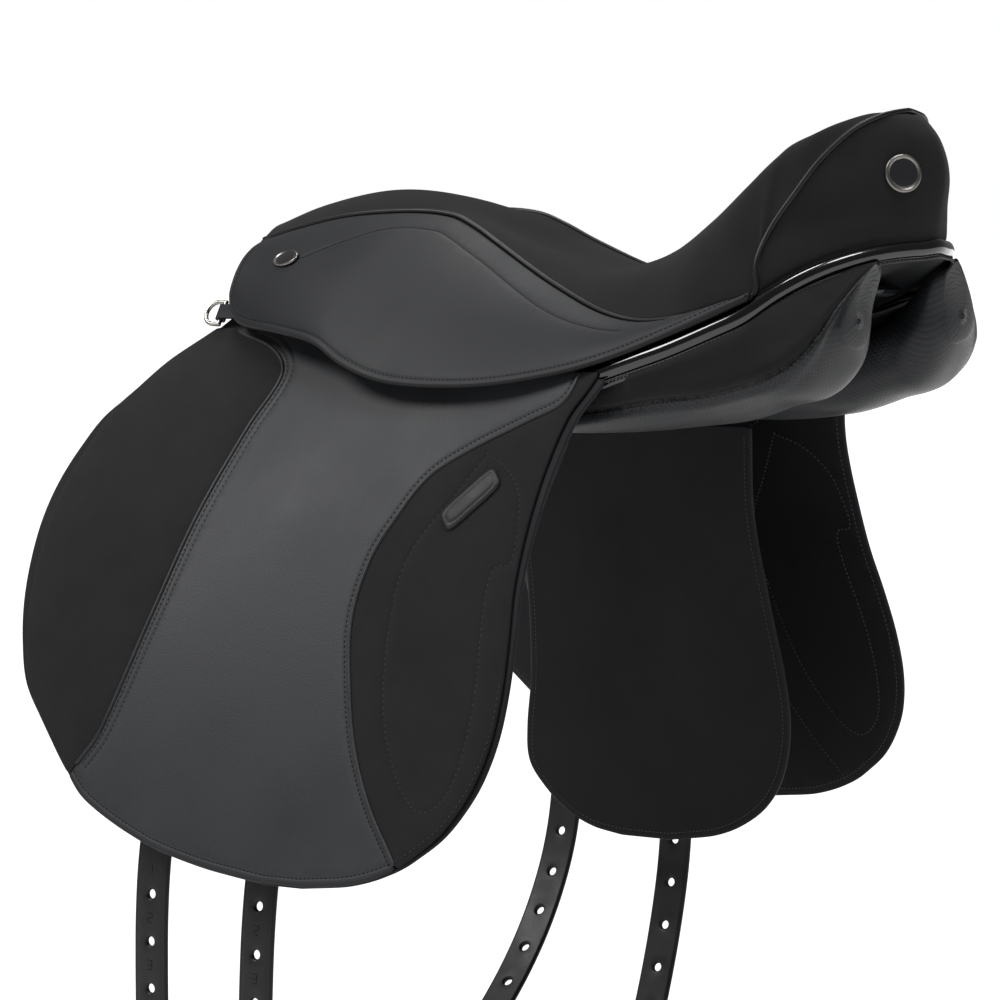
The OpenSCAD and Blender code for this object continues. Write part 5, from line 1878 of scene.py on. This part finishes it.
@dataclass
class GirthStrap:
    """One girth strap: waxed leather with punched holes, creased edges and numbers beside the holes."""

    side: Side
    name: str
    x: float
    leans: Table
    width: float = 25.0
    thickness: float = 4.0
    pitch: float = 29.0
    links: int = 20
    first_hole: int = 11
    hole_count: int = 8
    hole_radius: float = 2.75
    start: tuple[float, float] = (112, 32)
    tip: float = 7.8

    def __post_init__(self) -> None:
        """Lays out the strap's middle line, one point for each link."""
        points = [self.start]
        for i in range(self.links):
            a = math.radians(float(smooth(self.leans, i)))
            y, z = points[-1]
            points.append((y + self.pitch * math.sin(a), z - self.pitch * math.cos(a)))
        self._path = np.array(points)

    def surface(self, a: np.ndarray, b: np.ndarray) -> np.ndarray:
        """The middle of the near strap: a across it, b up from its tip."""
        at = self.links - b / self.pitch
        over = np.clip(at, 0, self.links) - at
        p = curve(self._path, np.clip(at, 0, self.links))
        d = self._path[-1] - self._path[-2]
        p = p - over[..., None] * d
        return np.stack([self.x + a, -p[..., 0], p[..., 1]], axis=-1)

    def make(self) -> None:
        """Builds the strap."""
        w, top = self.width / 2, self.links * self.pitch
        corners = [[w - self.tip, 0], [w, self.tip], [w, top], [-w, top], [-w, self.tip], [-w + self.tip, 0]]
        edge = rounded(resample(np.array(corners, float), 2.5, True), True, 1)
        turn = np.linspace(0, 2 * math.pi, 24, endpoint=False)
        holes = []
        for i in range(self.first_hole, self.first_hole + self.hole_count):
            b = (self.links - i - 0.5) * self.pitch
            holes.append(
                np.stack([self.hole_radius * np.cos(turn), b + self.hole_radius * np.sin(turn)], axis=1)
            )
        crease = [np.array([[s * (w - 2.6), 10.0], [s * (w - 2.6), top - 6]]) for s in (-1, 1)]
        sheet = Sheet(
            self.surface, edge, self.thickness, 0.0, 6.0, holes, crown=0.0, channels=crease,
            channel_depth=0.4, channel_half=0.7
        )
        name = f"{self.side.value}_{self.name}"
        home = f"{name}_girth_strap"
        piece(
            f"{name}_billet", self.side.turn(sheet.mesh()), STRAP, "strap_leather", home, [f"{name}_strap"]
        )
        piece(f"{name}_billet_numbers", self.side.turn(self._numbers()), THREAD, "strap_leather", home)

    def _numbers(self) -> Mesh:
        """Pressed numbers that count the holes, between one hole and the next."""
        strokes = {
            "1": [((0, -1), (0, 1))],
            "2": [
                ((-1, 1), (1, 1)), ((1, 1), (1, 0)), ((1, 0), (-1, 0)), ((-1, 0), (-1, -1)),
                ((-1, -1), (1, -1))
            ],
            "3": [((-1, 1), (1, 1)), ((-1, 0), (1, 0)), ((-1, -1), (1, -1)), ((1, 1), (1, -1))],
            "4": [((-1, 1), (-1, 0)), ((-1, 0), (1, 0)), ((1, 1), (1, -1))],
            "5": [
                ((1, 1), (-1, 1)), ((-1, 1), (-1, 0)), ((-1, 0), (1, 0)), ((1, 0), (1, -1)),
                ((1, -1), (-1, -1))
            ],
            "6": [
                ((1, 1), (-1, 1)), ((-1, 1), (-1, -1)), ((-1, -1), (1, -1)), ((1, -1), (1, 0)),
                ((1, 0), (-1, 0))
            ],
            "7": [((-1, 1), (1, 1)), ((1, 1), (0, -1))],
            "8": [
                ((-1, 1), (1, 1)), ((-1, 0), (1, 0)), ((-1, -1), (1, -1)), ((1, 1), (1, -1)),
                ((-1, 1), (-1, -1))
            ],
        }
        middles, ends = [], []
        for k in range(self.hole_count):
            b = (self.links - self.first_hole - k) * self.pitch
            for p, q in strokes[str(k + 1)]:
                one = np.array([p[0] * 1.7, b + p[1] * 2.8])
                two = np.array([q[0] * 1.7, b + q[1] * 2.8])
                middles.append((one + two) / 2)
                ends.append((one, two))
        at, normal = frame_on(self.surface, np.array(middles))
        first, _ = frame_on(self.surface, np.array([e[0] for e in ends]))
        second, _ = frame_on(self.surface, np.array([e[1] for e in ends]))
        meshes = []
        for i in range(len(at)):
            length = float(np.linalg.norm(second[i] - first[i])) + 0.8
            one = Thread(1, length, 0.8, 0.35)
            meshes.append(
                one.sewn(
                    at[i : i + 1] + normal[i : i + 1] * self.thickness / 2, (second - first)[i : i + 1],
                    normal[i : i + 1]
                )
            )
        return joined(meshes)


@dataclass
class GirthStraps:
    """The front and rear girth straps of one side, and how far each leans out at points along it."""

    side: Side
    places: tuple[tuple[str, float], ...] = (("front", -185.0), ("rear", -98.0))
    near_leans: tuple[Table, Table] = (
        ((0, 30), (3, 27), (6, 24), (9, 14), (12, 1), (17, -1)),
        ((0, 30), (3, 27), (6, 24), (9, 16), (12, 4), (17, -2)),
    )
    far_leans: tuple[Table, Table] = (
        ((0, 24), (4, 21), (8, 12), (10, -6), (12, -26), (15, -46), (19, -60)),
        ((0, 24), (4, 21), (8, 14), (10, 1), (12, -12), (15, -22), (17, -28)),
    )

    def make(self) -> None:
        """Builds both straps."""
        leans = self.near_leans if self.side is Side.NEAR else self.far_leans
        for (name, place), steps in zip(self.places, leans):
            GirthStrap(self.side, name, place, steps).make()


class Hardware:
    """CAD nodes whose shape is kept, each with the finish of what it is made of."""

    finishes = {
        "tree": SPRING,
        "head_plate": PLATE,
        "head_plate_rivets": NICKEL,
        "seat_webs": WEB,
        "front_girth_web": WEB,
        "rear_girth_web": WEB,
        "seat_foam": FOAM,
    }
    pairs = {"stirrup_bar": STAINLESS, "bar_catch": STAINLESS, "dee": NICKEL, "dee_tab": HARNESS_PAINTED_SHADE}

    def make(self) -> None:
        """Dresses the nodes."""
        wanted = dict(self.finishes)
        for side in Side:
            wanted |= {f"{side.value}_{key}": finish for key, finish in self.pairs.items()}
        for name, finish in wanted.items():
            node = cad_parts[name]
            for place in node.material_slots:
                place.material = finish.material()
            log.info("%s: kept from the frame in %s", name, finish.name)


# ---------------------------------------------------------------- studio


@dataclass
class Studio:
    """A pale floor, soft lamps and the camera. Lengths are in metres."""

    aim: tuple[float, float, float] = (-0.095, 0.0, -0.043)
    azimuth: float = 36.0
    elevation: float = 4.0
    distance: float = 3.0
    lens: float = 169.6
    floor_gap: float = 0.004
    room_light: float = 0.14
    backdrop_light: float = 1.0
    lamps: tuple[tuple[str, float, float, float, float], ...] = (
        ("key", -47, 47, 24, 1.9),
        ("side", 72, 58, 14, 0.9),
        ("top", 10, 78, 14, 0.9),
        ("rear", 208, 62, 22, 1.2),
    )

    def _sun(self, name: str, azimuth: float, elevation: float, spread: float, strength: float) -> None:
        """Adds a wide soft lamp that is far enough away to light the floor evenly.

        Args:
            name: The lamp's name.
            azimuth: Where it stands round the saddle, as the camera's azimuth.
            elevation: Its height as an angle.
            spread: How wide it looks from the saddle, in degrees.
            strength: Its power on a surface that faces it.
        """
        data = bpy.data.lights.new(name, "SUN")
        data.angle, data.energy = math.radians(spread), strength
        lamp = bpy.data.objects.new(name, data)
        bpy.context.scene.collection.objects.link(lamp)
        back = self._back(azimuth, elevation)
        lamp.location = Vector(self.aim) + back * 4
        lamp.rotation_mode = "QUATERNION"
        lamp.rotation_quaternion = (-back).to_track_quat("-Z", "Y")

    def _back(self, azimuth: float, elevation: float) -> Vector:
        """The direction from the saddle to something at that azimuth and elevation."""
        a, e = math.radians(azimuth), math.radians(elevation)
        return Vector((math.sin(a) * math.cos(e), -math.cos(a) * math.cos(e), math.sin(e)))

    def camera(self) -> None:
        """Puts the camera in place."""
        data = bpy.data.cameras.new("camera")
        data.lens, data.sensor_width = self.lens, 36.0
        data.clip_start, data.clip_end = 0.05, 100.0
        cam = bpy.data.objects.new("camera", data)
        bpy.context.scene.collection.objects.link(cam)
        back = self._back(self.azimuth, self.elevation)
        cam.location = Vector(self.aim) + back * self.distance
        cam.rotation_mode = "QUATERNION"
        cam.rotation_quaternion = (-back).to_track_quat("-Z", "Y")
        bpy.context.scene.camera = cam

    def floor(self) -> None:
        """Lays the floor just under the lowest strap."""
        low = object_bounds()[0]
        data = bpy.data.meshes.new("floor")
        h, z = 30.0, low.z - self.floor_gap
        data.from_pydata([(-h, -h, z), (h, -h, z), (h, h, z), (-h, h, z)], [], [(0, 1, 2, 3)])
        floor = bpy.data.objects.new("floor", data)
        bpy.context.scene.collection.objects.link(floor)
        made = bpy.data.materials.new("matt_white_floor")
        made.use_nodes = True
        shader = made.node_tree.nodes["Principled BSDF"]
        shader.inputs["Base Color"].default_value = linear("#f4f4f4")
        shader.inputs["Roughness"].default_value = 0.9
        data.materials.append(made)
        floor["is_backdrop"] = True

    def light(self) -> None:
        """Sets the lamps and the room's own light."""
        bpy.context.scene.view_settings.view_transform = "Standard"
        world = bpy.data.worlds.new("studio")
        bpy.context.scene.world = world
        world.use_nodes = True
        tree = world.node_tree
        tree.nodes.clear()
        room = add_node(tree, "ShaderNodeBackground", {"Color": (1, 1, 1, 1), "Strength": self.room_light})
        white = add_node(
            tree, "ShaderNodeBackground", {"Color": (1, 1, 1, 1), "Strength": self.backdrop_light}
        )
        path = add_node(tree, "ShaderNodeLightPath")
        mix = add_node(
            tree, "ShaderNodeMixShader",
            {0: path.outputs["Is Camera Ray"], 1: room.outputs[0], 2: white.outputs[0]}
        )
        add_node(tree, "ShaderNodeOutputWorld", {"Surface": mix.outputs[0]})
        for lamp in self.lamps:
            self._sun(*lamp)


def main() -> None:
    """Builds the saddle in order."""
    logging.basicConfig(level=logging.INFO, format="%(name)s: %(message)s", stream=sys.stdout)
    studio = Studio()
    studio.camera()
    Seat().make()
    Band().make()
    Lining().make()
    CantleBadge().make()
    for side in Side:
        Panel(side).make()
        Skirt(side).make()
        flap = Flap(side)
        flap.make()
        Keepers(flap).make()
        SweatFlap(side, SWEAT_FLAP_LEAN[side]).make()
        GirthStraps(side).make()
    Hardware().make()
    studio.floor()
    studio.light()


if __name__ == "__main__":
    main()
